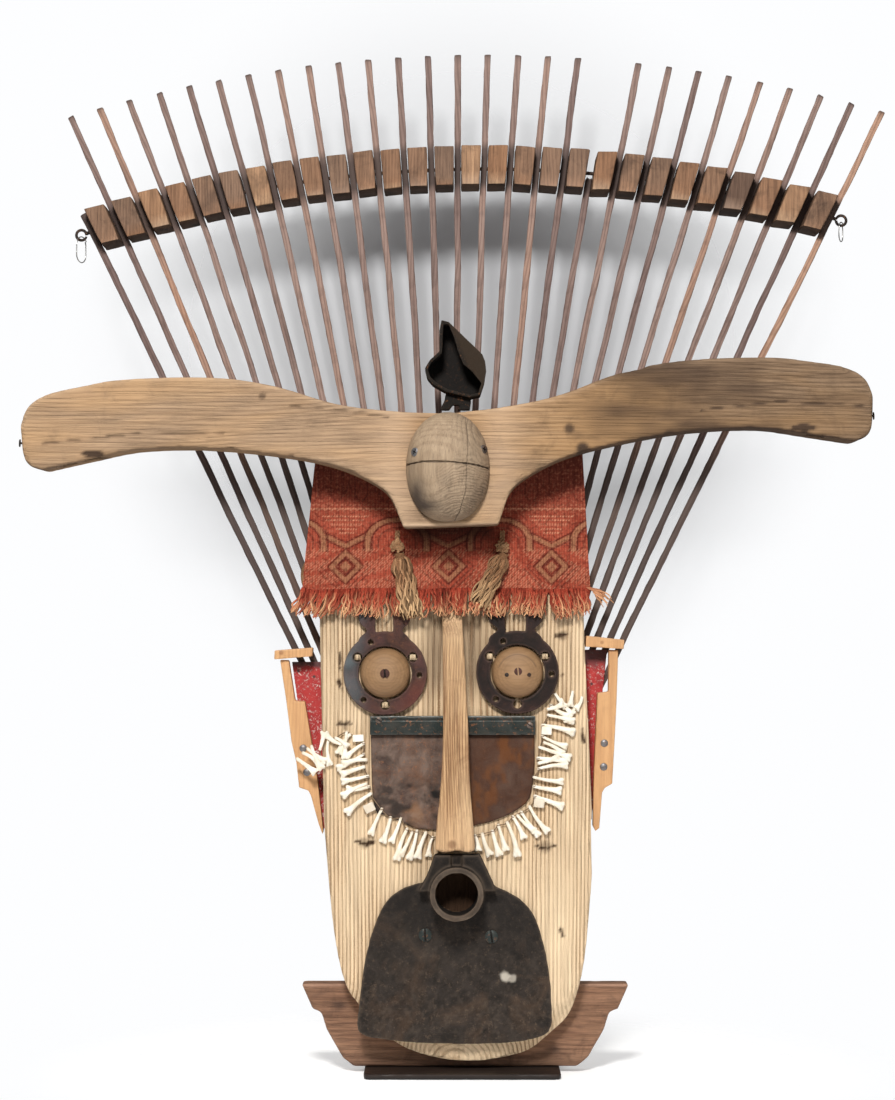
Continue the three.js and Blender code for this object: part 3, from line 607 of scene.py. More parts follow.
def make_tine(i):
    rnd = np.random.default_rng(100 + i)
    node = f"tine_{i:02d}"
    u = direction(i)
    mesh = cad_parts[node].data
    co = np.empty(len(mesh.vertices) * 3)
    mesh.vertices.foreach_get("co", co)
    reach = (co.reshape(-1, 3)[:, [0, 2]] / MM - PIVOT) @ u
    start, length = reach.min(), reach.max() - reach.min()
    rows = np.linspace(3, length - 3, int(length / 9))
    z = np.concatenate([[0, 0.8], rows, [length - 0.9, length]])
    p = np.stack([np.full(len(z), i * 7.3), z / 60, np.zeros(len(z))], 1)
    bend = 0.7 * value_noise(p, 5) * ease(0, 80, z)
    size = np.where((z == 0) | (z == length), 0.84, 1.0)
    swell, thin = (1 + k * value_noise(p * 2, seed) for k, seed in ((0.07, 6), (0.05, 7)))
    outline = tine_outline()
    rings = np.empty((len(z), len(outline), 3))
    rings[:, :, 0] = outline[:, 0] * size[:, None] * swell[:, None] + bend[:, None]
    rings[:, :, 1] = outline[:, 1] * size[:, None] * thin[:, None]
    rings[:, :, 2] = z[:, None]
    slant = rnd.uniform(-0.15, 0.15)
    rings[-3:, :, 2] -= np.abs(slant) * 3.4 - slant * rings[-3:, :, 0]
    if i == BROKEN:
        rings[-2:, :, 2] += rnd.uniform(-9, 0, len(outline))
        rings[-1, :, :2] *= 0.8
    co = rings.reshape(-1, 3) + 0.14 * rnd.standard_normal((rings.size // 3, 3)) * [1, 1, 0]
    up = co[:, 2]
    tint = {0: 0.0, 1: 0.15, 22: 0.1, 28: 0.75, 27: 0.1}.get(i, rnd.uniform(0.12, 0.62))
    tint = tint + 0.12 * value_noise(co / 90 + i, 9)
    if i == TINES - 1:
        tint = 0.3 + 0.45 * ease(300, 520, up)
    foot = PIVOT + u * start
    in_arch = ARCH_RISE / 2 - np.abs(start + up - arch_reach(u))
    streaks = ease(0.25, 0.8, fractal(co * [0.15, 0.15, 0.02] + i * 3.1, 11))
    # Painted shade: below the yoke the tines are darkened as the yoke's shadow, and inside the arch
    # as the shade in the block slots; streaks and the top ends are darker as well.
    dark = np.maximum.reduce([0.5 * streaks, 0.75 * ease(length - 5, length - 1, up),
                              0.82 * ease(695, 640, foot[1] + u[1] * up),
                              0.85 * ease(-4, 1, in_arch)])
    obj = piece(node.replace("tine", "slat"), (co, loft(rings)[1]), TINE, "tine_wood", sharp=30,
                tint=np.clip(tint, 0, 1), dark=np.clip(dark, 0, 1))
    obj.matrix_world = Matrix.Translation(Vector((foot[0], TINE_PLANE, foot[1])) * MM) \
        @ Matrix.Rotation(math.atan2(u[0], u[1]), 4, "Y")
    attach(obj, ROOT)
    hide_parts(node)


for index in range(TINES):
    make_tine(index)


# ---- arch: blocks, rod and end eyes ----
def arch_point(angle):
    return np.array([ARCH_CENTRE[0] + ARCH_RADIUS * math.sin(angle), TINE_PLANE,
                     ARCH_CENTRE[1] + ARCH_RADIUS * math.cos(angle)])


def arch_angle(i):
    x, z = PIVOT + direction(i) * arch_reach(direction(i)) - ARCH_CENTRE
    return math.atan2(x, z)


# From dark brown through grey-brown and orange-brown to pale tan, left to right along the arch.
BLOCK_TONES = [0.45, 0.38, 0.80, 0.60, 0.42, 0.36, 0.88, 0.50, 0.58, 0.36, 0.50, 0.58, 0.50, 0.25,
               0.90, 0.72, 0.48, 0.42, 0.42, 0.70, 0.46, 0.42, 0.62, 0.50, 0.05, 0.62, 0.82, 0.44]


def points_and_normals(b):
    b.normal_update()
    return (np.array([getattr(v, key)[:] for v in b.verts]) for key in ("co", "normal"))


def make_block(i):
    rnd = np.random.default_rng(300 + i)
    corners = []
    for k, sign in ((i, 1), (i + 1, -1)):
        u = direction(k)
        out = np.array([u[1], -u[0]]) * sign * (TINE_WIDTH / 2 + BLOCK_GAP)
        lift = rnd.uniform(-1.0, 1.0)
        low, high = (PIVOT + u * (arch_reach(u) + s * ARCH_RISE / 2 + lift) + out for s in (-1, 1))
        corners += [high, low] if sign > 0 else [low, high]
    b = bmesh.new()
    y0, y1 = TINE_PLANE - ARCH_DEPTH / 2, TINE_PLANE + ARCH_DEPTH / 2
    front = [b.verts.new((c[0], y0 + rnd.uniform(-0.8, 1.2), c[1])) for c in corners]
    back = [b.verts.new((c[0], y1, c[1])) for c in corners]
    b.faces.new(front)
    b.faces.new(back[::-1])
    for k in range(4):
        n = (k + 1) % 4
        b.faces.new((front[k], back[k], back[n], front[n]))
    bmesh.ops.recalc_face_normals(b, faces=b.faces)
    bmesh.ops.bevel(b, geom=list(b.edges), offset=rnd.uniform(1.0, 1.7), segments=3, profile=0.5,
                    affect="EDGES")
    bmesh.ops.subdivide_edges(b, edges=[e for e in b.edges if e.calc_length() > 9], cuts=5,
                              use_grid_fill=True)
    b.verts.ensure_lookup_table()
    co, no = points_and_normals(b)
    faces = [tuple(v.index for v in f.verts) for f in b.faces]
    b.free()
    u = (direction(i) + direction(i + 1)) / 2
    up = (co[:, [0, 2]] - np.mean(corners, 0)) @ u
    worn_low = ease(-8, -21, up) * ease(y0 + 14, y0, co[:, 1])
    co += no * (0.45 * fractal(co / 14 + i, 3) - 1.6 * worn_low * rnd.uniform(0.3, 1.2))[:, None]
    along, across = no[:, [0, 2]] @ u, no[:, [0, 2]] @ np.array([u[1], -u[0]])
    # Painted shade: faces turned down towards the pivot and the side faces are darkened; a noise
    # adds uneven darkening.
    dark = 0.8 * ease(-0.35, -0.7, along) + 0.35 * ease(0.35, 0.8, np.abs(across)) \
        + 0.3 * ease(0.1, 0.7, fractal(co / 16 + i, 4))
    pale = 0.45 * worn_low * rnd.uniform(0, 1) * (along > -0.3)
    return (co, faces), (BLOCK_TONES[i] + 0.3 * worn_low, pale, np.clip(dark, 0, 1))


shapes, marks = zip(*[make_block(i) for i in range(TINES - 1)])
tint, pale, dark = joined(marks)
piece("arch_blocks", merge(shapes), BLOCK, "block_wood", ("block_arch",), sharp=35,
      tint=np.clip(tint, 0, 1), pale=pale, dark=dark)

EYE_RADIUS, EYE_WIRE, EYE_OUT = 5.5, 1.55, 12.0
ends = [arch_angle(0) - EYE_OUT / ARCH_RADIUS, arch_angle(TINES - 1) + EYE_OUT / ARCH_RADIUS]
eye_centres = [arch_point(a) for a in ends]
shift = EYE_RADIUS / ARCH_RADIUS
rod = [arch_point(a) for a in np.linspace(ends[0] + shift, ends[1] - shift, 120)]
rod_parts = [sweep(rod, 2.0, 12)]
eye_wire = EYE_WIRE * np.concatenate([np.ones(34), np.linspace(1, 0.7, 6)])
for centre, turn in zip(eye_centres, (0.0, math.pi)):
    ring = np.array([centre + EYE_RADIUS * np.array([math.cos(t + turn), 0, math.sin(t + turn)])
                     + [0, 1.1 * (t / 6.0 - 0.5), 0] for t in np.linspace(0, TURN * 0.96, 40)])
    rod_parts.append(sweep(ring, eye_wire, 10))
piece("arch_rod", merge(rod_parts), NAIL, "black_iron", ("block_arch",))


def make_link(side, centre, half, length):
    """A closed loop of thin wire, hung in an eye of the rod without touching it."""
    wire, clearance, turn = 0.6, 1.5, math.radians(62)
    top = centre[2] - (EYE_RADIUS - EYE_WIRE) + wire + clearance
    a = np.linspace(0.5, 0.5 + TURN, 72)
    x, z = half * np.cos(a), half * np.sin(a)
    z = np.where(z < 0, z - (length - 2 * half), z)
    across, deep = turned(x, 0.75 * np.linspace(-1, 1, len(a)), turn)
    path = np.stack([across + centre[0], deep + centre[1], z + (top - half)], 1)
    node = "link_" + side
    piece("wire_" + node, sweep(path, wire, 10), BRIGHT, "link_wire", (node,), node)


make_link("left", eye_centres[0], 9, 28)
make_link("right", eye_centres[1], 7, 21)

# ---- foot, base plank, root batten ----
p = Skin("foot_plate", "foot", 1.8, 2).wear(0.15, 40, 0.8, 12, 1)
# Painted shade: the lowest two millimetres are darkened where the foot meets the floor.
p.done(FOOT, "foot_wood", dark=ease(3.4, 1.8, p.z), pale=0.15 * p.bite)

p = Skin("base_board", "base_plank", 2.0, 3).wear(0.4, 60, 2.0, 12, 2, (0.4, 1, 1))
top_edge = ease(91.5, 94, p.z) * ease(-31, -34, p.y)
knots = sum(np.exp(-(((p.x - x) / 7) ** 2 + ((p.z - z) / 5) ** 2))
            for x, z in ((-132, 72), (100, 25)))
mottle = ease(0.05, 0.6, fractal(p.co * [0.012, 0.03, 0.045], 33, 4))
p.done(BASE, "base_wood", dark=0.8 * knots + 0.5 * ease(25, 8, p.z) + 0.55 * mottle,
       pale=0.7 * top_edge + 0.5 * p.bite)

p = Skin("root_batten", "root_clamp", 2.0, 2).wear(0.3, 40, 1.2, 10, 3)
p.done(BLOCK, "block_wood", dark=0.2, tint=0.5, pale=0.3 * p.bite)

# ---- plank face ----
p = Skin("face_plank", "face_board", 2.4, 3)
front = ease(-0.5, -0.9, p.no[:, 1])
# The end grain shows where the chin is cut back.
column = np.clip(((p.x + 160) / 4).astype(int), 0, 79)
lowest = np.full(80, 1e9)
np.minimum.at(lowest, column, p.z)
chin = ease(30, 3, p.z - lowest[column]) * ease(110, 60, p.z)
p.y += 11 * chin * ease(BOARD_BACK, BOARD_FRONT, p.y)
p.wear(0.35, 70, 2.6, 16, 4, (1, 1, 0.25))
ridge = np.sin(TURN * (p.x / 5.2 + 0.8 * fractal(p.co * [0.01, 0, 0.004], 8)))
p.y += 0.3 * ridge * front
holes = dots(p.co, (-131, 444, 2.6), (-130, 418, 2.2), (-125, 372, 2.4), (107, 428, 2.6),
             (129, 363, 2.6))
knots = np.clip(dots(p.co, (-104, 249, 8), (89, 245, 9), (107, 470, 7), (-112, 560, 8),
                     (60, 610, 9)), 0, 1)
p.y += 2.2 * holes * front + 0.8 * knots * front
# Beside the nose the board is darker, partly patina and partly painted shade from the nose.
by_nose = ease(44, 20, np.abs(p.x + 8)) * ease(385, 430, p.z)
splits = np.minimum.reduce([line_distance(p.co[:, [0, 2]], route) for route in (
    [(-113, 251), (-104, 248), (-94, 250)], [(80, 246), (90, 243), (99, 246)],
    [(-131, 452), (-130, 434)], [(-132, 422), (-128, 412)], [(128, 370), (130, 356)],
    [(-132, 376), (-118, 377)], [(101, 470), (112, 472)], [(105, 158), (107, 150)])])
splits = ease(2.2, 0.4, splits + 1.5 * value_noise(p.co / 3.2, 61)) * front
mortise = sum(ease(1.6, 0.6, np.abs(p.x - x)) * ease(282, 300, p.z) * ease(390, 380, p.z)
              for x in (-100, 81.5))
stain = 0.5 * ease(0.35, 0.8, fractal(p.co * [0.03, 0.03, 0.008], 14))
# Painted shade: where the board shows through the hoe's bore it is darkened as the inside of the
# bore.
in_bore = ease(26, 22, np.hypot(p.x - HOE_EYE[0], p.z - HOE_EYE[1])) * front
rim = ease(-145, -151, p.x + 0.02 * (p.z - 480)) * 0.3
p.y += 1.8 * splits
p.done(PINE, "face_pine", pale=0.2 * p.bite,
       dark=0.6 * holes + 1.4 * in_bore + 0.5 * knots + splits + 0.55 * by_nose + stain * 0.3
       + 0.25 * mortise + rim + 0.3 * p.bite + 0.12 * ease(0.2, 0.9, ridge) * front)

# ---- yoke ----
p = Skin("yoke_beam", "yoke", 2.4, 4).wear(0.8, 70, 3.2, 18, 5, (0.3, 1, 1))
facing, rising = p.no[:, 1], p.no[:, 2]
from_middle = p.x + 15
top_chip = ease(16, 0, np.abs(p.x - 180)) * ease(0.2, 0.9, rising)
p.z -= 2.5 * top_chip * (1 + value_noise(p.co / 9, 4))
middle_y = (p.low[1] + p.high[1]) / 2 - 10
notches = sum(ease(9, 6.5, np.abs(p.x - x)) * ease(-0.3, -0.8, rising)
              * ease(14, 8, np.abs(p.y - middle_y)) for x in (-390, -415, 372))
p.z += 7 * notches
split = np.minimum.reduce([line_distance(p.co[:, [0, 2]], route) for route in (
    [(-180, 712), (-120, 706), (-78, 700)], [(-440, 672), (-330, 684), (-250, 682)],
    [(250, 707), (330, 716), (420, 712)])])
crack = ease(1.3, 0.2, split + 0.8 * value_noise(p.co / 12, 6)) * (facing < -0.7)
p.y += 1.0 * crack
knots = np.clip(dots(p.co, (112, 688, 7), (126, 667, 9), (-210, 722, 5)), 0, 1)
right = ease(60, 160, p.x)
gold = np.exp(-(((np.abs(from_middle) - 55) / 22) ** 2)) * (facing < -0.3)
# Painted highlight: the front lower edge of the pad is made pale where light catches it.
pad = ease(-118, -124, p.y) * ease(590, 586.5, p.z)
stain = ease(0.0, 0.5, fractal(p.co * [0.007, 0.02, 0.022], 35, 4))
holes = sum(ease(1.0, 0.55, np.hypot((p.x - x) / 15, (p.z - z) / 4.5))
            for x, z in ((-388, 661.5), (358, 689)))
# Painted shade: faces turned downwards are darkened.
p.done(YOKE, "yoke_wood",
       dark=notches + 1.2 * holes + stain * (0.15 + 0.4 * right) + 0.6 * crack + 0.7 * knots
       + 0.40 * right + 0.3 * p.bite + 0.5 * ease(-0.2, -0.9, rising),
       pale=0.4 * gold + 0.9 * pad + 0.2 * ease(-40, -110, p.x) + 0.3 * p.edge * (rising > 0))

for name, place, axis in (("yoke_nail_left", (-464.0, -104, 674), (-1, 0, 0.05)),
                          ("yoke_nail_right", (431.3, -102, 703), (1, 0, 0.05))):
    head, out = 4.2, 5.0
    profile = [(0, -9), (1.0, -9), (1.1, out - 1.3), (head, out - 1.2), (head * 0.95, out - 0.3),
               (head * 0.5, out), (0, out)]
    piece(name, lathe(profile, place, 20, axis), NAIL, "screw_steel")

# ---- bird head ----
EGG_LOW, EGG_HIGH = box_mm("bird_head")
EGG_MIDDLE, EGG_HALF = (EGG_LOW + EGG_HIGH) / 2, (EGG_HIGH - EGG_LOW) / 2
EGG_BACK, EGG_DEEP = EGG_HIGH[1], EGG_HIGH[1] - EGG_LOW[1]


def egg_radius(a):
    return EGG_HALF[0] * np.cos(a) ** np.where(np.sin(a) < 0, 0.82, 0.95)


def egg_front(x, z):
    """Y of the egg's surface at x, z."""
    r = egg_radius(np.arcsin(np.clip((z - EGG_MIDDLE[2]) / EGG_HALF[2], -0.999, 0.999)))
    across = x - EGG_MIDDLE[0]
    return EGG_BACK - EGG_DEEP / EGG_HALF[0] * np.sqrt(np.clip(r**2 - across**2, 0, None))


def make_egg():
    rows, cols = 190, 170
    a = np.linspace(-math.pi / 2 + 0.02, math.pi / 2 - 0.02, rows)[:, None]
    phi = np.linspace(0, math.pi, cols)
    r = egg_radius(a)
    x = EGG_MIDDLE[0] - r * np.cos(phi)
    y = EGG_BACK - EGG_DEEP / EGG_HALF[0] * r * np.sin(phi)
    z = np.broadcast_to(EGG_MIDDLE[2] + EGG_HALF[2] * np.sin(a), x.shape)
    co = np.stack([x, y, z], 2).reshape(-1, 3)
    no = co - [EGG_MIDDLE[0], EGG_BACK, EGG_MIDDLE[2]]
    no /= [EGG_HALF[0] ** 2, EGG_DEEP**2, EGG_HALF[2] ** 2]
    no /= np.linalg.norm(no, axis=1)[:, None] + 1e-9
    x, y, z = co.T
    sawn = ease(0.95, 0.35, line_distance(co[:, [0, 2]], [(-60, 649), (-42, 651.5), (-14, 651),
                                                          (12, 648.5), (30, 645)]))
    crack = ease(0.7, 0.1, line_distance(co[:, [0, 2]], [(3, 700), (6, 673), (5, 650), (3.5, 621),
                                                         (-3, 600), (-8, 591)]))
    # Growth rings come out as wavy terraces low on the right of the middle.
    wave = fractal(co * [0.05, 0.02, 0.06], 31, 4) * 8 + 0.012 * (x - 5) ** 2
    ring = np.sin(TURN * (z + wave) / 3.4)
    terraces = ease(48, 18, np.hypot(x - 8, (z - 622) * 0.9))
    high = np.sin(TURN * (np.hypot(x - 20, (z - 690) * 0.45) + 3 * fractal(co * 0.04, 32)) / 5.5)
    crown = ease(38, 12, np.hypot(x - 14, z - 688))
    depth = 0.38 * ring * terraces + 0.22 * high * crown + 0.6 * fractal(co / 26, 33)
    depth -= 2.2 * sawn + 1.2 * crack
    co = co + no * (depth * ease(0, 1.5, EGG_BACK - y))[:, None]
    x, y, z = co.T
    y[:] = np.minimum(y, EGG_BACK)
    faces, rim = grid_faces(rows, cols)
    faces.append(tuple(rim[:1] + rim[:0:-1]))
    stain = 0.85 * np.exp(-(((x + 48) / 9) ** 2 + ((z - 617) / 18) ** 2))
    stain += 0.55 * np.exp(-(((x + 36) / 13) ** 2 + ((z - 606) / 6) ** 2))
    patch = ease(-0.25, 0.45, fractal(co / 22, 34, 3))
    lines = ease(-0.4, -0.9, ring) * terraces * 0.34 * patch
    lines += ease(-0.5, -0.95, high) * crown * 0.25
    shade = 0.22 * ease(0.1, 0.6, fractal(co / 18, 35)) + 0.2 * ease(-38, 28, x)
    shade += 0.22 * ease(640, 600, z)
    piece("egg_head", (co, faces), EGG, "head_wood", ("bird_head",), sharp=50,
          dark=np.clip(0.8 * sawn + 0.45 * crack + stain + lines + shade, 0, 1),
          pale=0.15 * terraces * ease(0.2, 0.9, ring) * patch)


make_egg()


def screw(name, place, radius, look, slot_half=0.55, depth=1.1, rise=2.2, turn=0.0, axis=(0, -1, 0),
          cross=False, nodes=()):
    """A screw head with a single slot or a cross pressed into it, on a short shank."""
    axis, place = unit(np.array(axis, float)), np.array(place, float)
    side = unit(np.cross(axis, (0, 0, 1)))
    up = np.cross(side, axis)
    rings = np.concatenate([np.linspace(0.05, 0.93, 15), [0.98, 1.0, 0.99]]) * radius
    a = np.arange(64) * 2 * math.pi / 64
    rows, cuts = [], []
    for r in rings:
        x, y = r * np.cos(a), r * np.sin(a)
        h = rise * np.sqrt(np.clip(1 - 0.75 * (r / radius) ** 2, 0, 1)) \
            - (0.5 * rise if r == rings[-1] else 0)
        along, across = turned(x, y, -turn)
        cut = np.abs(across) < slot_half
        if cross:
            cut = (np.minimum(np.abs(across), np.abs(along)) < slot_half) & (r < 0.6 * radius)
        # Painted shade: the slot or cross is darkened as the shade inside it.
        cuts.append(0.9 * cut)
        rows.append(place + x[:, None] * side + y[:, None] * up + (h - depth * cut)[:, None] * axis)
    foot = radius * 0.35 * (np.cos(a)[:, None] * side + np.sin(a)[:, None] * up)
    rows += [place + foot - 0.1 * axis, place + foot - 7 * axis]
    dark = np.concatenate([*cuts, np.zeros(2 * len(a))])
    piece(name, loft(rows), look, "screw_steel", nodes, sharp=30, dark=dark)


EYE_SPOTS = ((-50.2, 661.8), (22.2, 664.9))
left_y, right_y = (float(egg_front(np.array(x), np.array(z))) for x, z in EYE_SPOTS)
screw("bird_eye_left", (-49.2, left_y - 0.3, 661.8), 4.6, RIVET, turn=0.5, axis=(-0.55, -1, 0.1),
      cross=True)
screw("bird_eye_right", (21.6, right_y - 0.3, 664.9), 4.6, STEEL, turn=0.3, axis=(0.6, -1, 0.1),
      cross=True, depth=1.6)

# ---- crest ----
p = Skin("crest_socket", "crest_iron", 0.85, 2).wear(0.35, 16, 1.2, 7, 6)
front_y = p.low[1]
# Painted shade: the inside of the socket is darkened deeper in.
inside = ease(front_y + 3, front_y + 14, p.y)
facet = ease(-4, 4, p.x - (-14 + (800 - p.z) * 0.42)) * ease(722, 730, p.z)
p.done(CREST, "black_iron", dark=inside * 0.9, side=facet * (1 - inside),
       edge=0.5 * p.edge * ease(front_y + 4, front_y, p.y))

# ---- hoe head ----
p = Skin("hoe_blade", "hoe_head", 1.3, 4).wear(0.5, 40, 0.8, 10, 7)
front_y = p.low[1]
radius = np.hypot(p.x - HOE_EYE[0], p.z - HOE_EYE[1])
tube_rim = ease(front_y + 5, front_y + 1, p.y) * ease(33, 27, radius)
rim = p.edge * (p.y < p.high[1] - 3)
blotch = fractal(p.co * [0.06, 0.05, 0.06], 40, 4)
p.push(0.35 * fractal(p.co / 5, 41))
# Painted shade: deep in the bore the iron is darkened.
bore = ease(24, 22, radius) * ease(front_y + 2, front_y + 12, p.y)
ragged = p.co + 3.0 * value_noise(p.co / 4, 58)[:, None]
chip = np.maximum(dot(ragged, 45, 107, 7.5), 0.7 * dot(ragged, 53, 105, 5.5))
p.y += 0.5 * chip * ease(-0.2, 0.5, value_noise(p.co / 2.5, 5))
grainy = ease(-0.1, 0.7, fractal(p.co / 3.5, 43, 3))
worn_rim = 0.35 + 0.65 * ease(-0.3, 0.5, value_noise(p.co / 9, 44))
p.done(HOE, "black_iron", warm=chip,
       edge=0.5 * tube_rim * worn_rim + 0.3 * rim + 0.1 * ease(0.1, 0.7, blotch)
       + 0.16 * grainy * (0.4 + 0.6 * ease(150, 60, p.z)),
       dark=0.9 * bore + 0.6 * ease(100, 190, p.z) * (1 - tube_rim))

for side, x, z, lean in (("left", -39.4, 151.9, 0.05), ("right", 31.1, 150.1, 0.15)):
    node = "hoe_screw_" + side
    screw("hoe_screw_head_" + side, (x, box_mm(node)[0][1] + 3.0, z), 7.0, SPINE, slot_half=0.8,
          depth=1.6, rise=3.0, turn=math.pi / 2 - lean, nodes=(node,))

# ---- mouth blade, spine, nose ----
p = Skin("mouth_plate", "mouth_blade", 1.0, 3).wear(0.25, 30, 0.9, 6, 8)
right = ease(-15, 5, p.x) * (0.85 + 0.15 * value_noise(p.co / 25, 3))
orange = ease(0.15, 0.6, fractal(p.co * [0.04, 0.04, 0.06], 44))
stain = ease(0.2, 0.55, fractal(p.co * [0.035, 0.02, 0.05], 45)) * (p.x < -8)
mottled = ease(0.0, 0.4, fractal(p.co * [0.09, 0.05, 0.05], 49, 4))
low_left = ease(325, 300, p.z) * (1 - right)
patchy = ease(0.0, 0.35, fractal(p.co * [0.05, 0.03, 0.07], 48, 4))
p.done(BLADE, "blade_iron", side=0.85 * right, edge=0.45 * orange * (1 - right),
       warm=0.9 * right * np.maximum(orange, 0.7 * mottled),
       dark=0.75 * stain + 0.75 * low_left * patchy + 0.5 * ease(357, 366, p.z) + 0.3 * p.edge)

p = Skin("mouth_spine", "mouth_blade_spine", 0.9, 2).wear(0.25, 18, 1.0, 6, 9)
fold = ease(1.2, 0.3, np.abs(p.z - p.high[2] + 4.5)) * (p.no[:, 1] < -0.6)
p.y += 0.6 * fold
# The edges are rubbed paler; along the top the paler edge is also a painted highlight.
p.done(SPINE, "black_iron", dark=0.4 * fold,
       edge=0.7 * p.edge * (p.z > p.high[2] - 6) + 0.35 * p.edge)
for side, x, z in (("left", -89, 380.5), ("right", 72.0, 375.0)):
    screw("spine_screw_" + side, (x, p.low[1] - 0.1, z), 3.4, STEEL, slot_half=0.4, depth=0.7,
          rise=1.4, turn=0.6)

p = Skin("nose_stave", "nose_handle", 1.2, 9).wear(0.35, 40, 0.8, 9, 10, (1, 1, 0.3))
streak = ease(0.25, 0.7, fractal(p.co * [0.09, 0.06, 0.012], 46))
p.done(HANDLE, "handle_wood", dark=0.3 * streak + 0.6 * dot(p.co, -10.9, 249.5, 6) + 0.25 * p.edge,
       pale=0.45 * ease(470, 500, p.z) + 0.25 * ease(300, 255, p.z))

# ---- eyes ----
for side, (x, z) in EYES.items():
    left = side == "left"
    p = Skin("flange_" + side, "eye_plate_" + side, 1.0, 3).wear(0.35, 18, 1.4, 7, 11 + len(side))
    # The tab at the top is waisted just above the ring.
    waist = np.exp(-(((p.z - z - 45.5) / 6) ** 2)) * ease(13, 18, np.abs(p.x - x))
    p.x -= 0.3 * waist * (p.x - x)
    p.push(0.25 * fractal(p.co / 4, 47))
    blue = left * ease(-95, -125, p.x) * (0.6 + 0.4 * value_noise(p.co / 12, 3))
    shade = 0.12 if left else 0.80 + 0.2 * value_noise(p.co / 15, 4)
    # Painted shade: a ring just round the dome is darkened between dome and plate.
    ring = np.abs(np.hypot(p.x - x, p.z - z) - 30.5)
    red = ease(x + 5, x + 38, p.x) * ease(z + 5, z - 30, p.z) * left
    p.done(PLATE, "plate_rust", side=0.85 * blue, edge=0.4 * p.edge, warm=0.7 * red,
           dark=shade + 0.3 * ease(3, 0, ring))

# Pale wooden pegs show in the larger holes of the plates.
HOLE_CIRCLE = 34
for side, angles in (("left", (150, 30, 270)), ("right", (150, 30))):
    for k, a in enumerate(math.radians(angle) for angle in angles):
        x = EYES[side][0] + HOLE_CIRCLE * math.cos(a)
        z = EYES[side][1] + HOLE_CIRCLE * math.sin(a)
        verts, faces = lathe([(0, 0), (4.9, 0), (4.9, 3.4), (4.4, 4.2), (0, 4.3)],
                             (x, BOARD_FRONT - 0.4, z), 4)
        out = verts - [x, 0, z]
        dx, dy, dz = out.T
        out = np.stack([(dx - dz) * 0.707, dy, (dx + dz) * 0.707], 1)
        co = out + [x, 0, z] + 0.2 * value_noise(out / 2, 9)[:, None]
        # Painted light and shade: the upper half of each peg is made paler and the lower half
        # darker.
        low_side = ease(z + 1, z - 3.5, co[:, 2])
        piece(f"plate_peg_{side}_{k}", (co, faces), PINE, "face_pine", sharp=50,
              pale=0.5 * (1 - low_side), dark=0.15 + 0.5 * low_side)


def make_dome(side, body):
    """A turned knob; returns how far forward its top comes."""
    x, z = EYES[side]
    node = "eye_dome_" + side
    lo, hi = box_mm(node)
    radius, proud, foot = (hi[0] - lo[0]) / 2, hi[1] - lo[1], 5.0
    profile = [(0, 0), (radius * 0.97, 0), (radius, 0.8), (radius, foot - 1.0),
               (radius - 0.6, foot - 0.3)]
    for a in np.radians(np.linspace(2, 89, 40)):
        r = (radius - 0.7) * math.cos(a) ** 0.7
        profile.append((r + 0.12 * math.sin(r * 1.6), foot + (proud - foot) * math.sin(a)))
    co, faces = lathe(profile, (x, hi[1], z), 96)
    radial = np.hypot(co[:, 0] - x, co[:, 2] - z)
    out = co - [x, hi[1], z]
    out /= np.linalg.norm(out, axis=1)[:, None] + 1e-6
    co = co + out * (0.3 * fractal(co / 18 + len(side), 50))[:, None] * (radial > 4)[:, None]
    turned_line = 0.35 * (np.sin(radial * 1.9) > 0.8) * (radial > 6)
    up = co[:, 2]
    arc = np.abs(np.hypot(co[:, 0] - x, up - z + 2) - 21)
    scratch = ease(1.0, 0.2, arc) * (up > z + 6) * (side == "right")
    # Painted shade: the lower part of each dome is darkened; turned lines, a scratch on the right
    # dome and the left dome's middle are darker too.
    dark = turned_line * 0.5 + 0.7 * scratch + 0.3 * ease(z - 4, z - 24, up) \
        + 0.5 * ease(4, 0, radial) * (side == "left")
    piece("dome_" + side, (co, faces), DOME, "dome_wood", (node,), body, 45,
          dark=np.clip(dark, 0, 1), pale=0.3 * ease(14, 2, radial))
    return hi[1] - proud


left_top, right_top = make_dome("left", "eye_dome_left"), make_dome("right", ROOT)
x, z = EYES["left"]
screw("dome_screw_left", (x, left_top - 0.3, z), 5.0, PLATE, slot_half=0.9, depth=2.2, rise=3.0,
      turn=math.pi / 2 - 0.08, nodes=("eye_screw_left",))
x, z = EYES["right"]
screw("dome_screw_right", (x + 0.5, right_top + 0.4, z + 1), 4.2, PLATE, slot_half=0.7, depth=0.9,
      rise=0.9, turn=math.pi / 2 - 0.1)
for k, dx in enumerate((-11.6, 12.2)):
    screw(f"dome_nail_{k}", (x + dx, right_top + 0.5, z - 2.5), 2.2, NAIL, slot_half=0.2,
          depth=0.1, rise=0.8)


# ---- ears ----
def paint_look():
    s = Look("leaf_paint", 0.5)
    wearing = s.noise(60, 6.0, 0.75, 0.6)
    chips = s.rise(s.noise(300, 5.0, 0.8, 0.3), 0.56, 0.61)
    primer = s.mix(s.rise(s.noise(120), 0.4, 0.6), (0.72, 0.60, 0.55), (0.55, 0.30, 0.28))
    red = s.mix(s.rise(wearing, 0.35, 0.7), (0.33, 0.010, 0.013), (0.50, 0.038, 0.032))
    colour = s.mix(chips, red, primer)
    colour = s.mix(s.rise(s.noise(38, 5.0, 0.8, 1.0), 0.60, 0.64), colour, (0.78, 0.70, 0.64))
    colour = s.mix(s.value("dark"), colour, (0.06, 0.028, 0.028))
    s.bump(chips, -0.25, 0.8)
    s.bump(wearing, 0.4, 0.5)
    return s.done(colour, s.ramp(chips, (0.0, 0.45), (1.0, 0.8)))


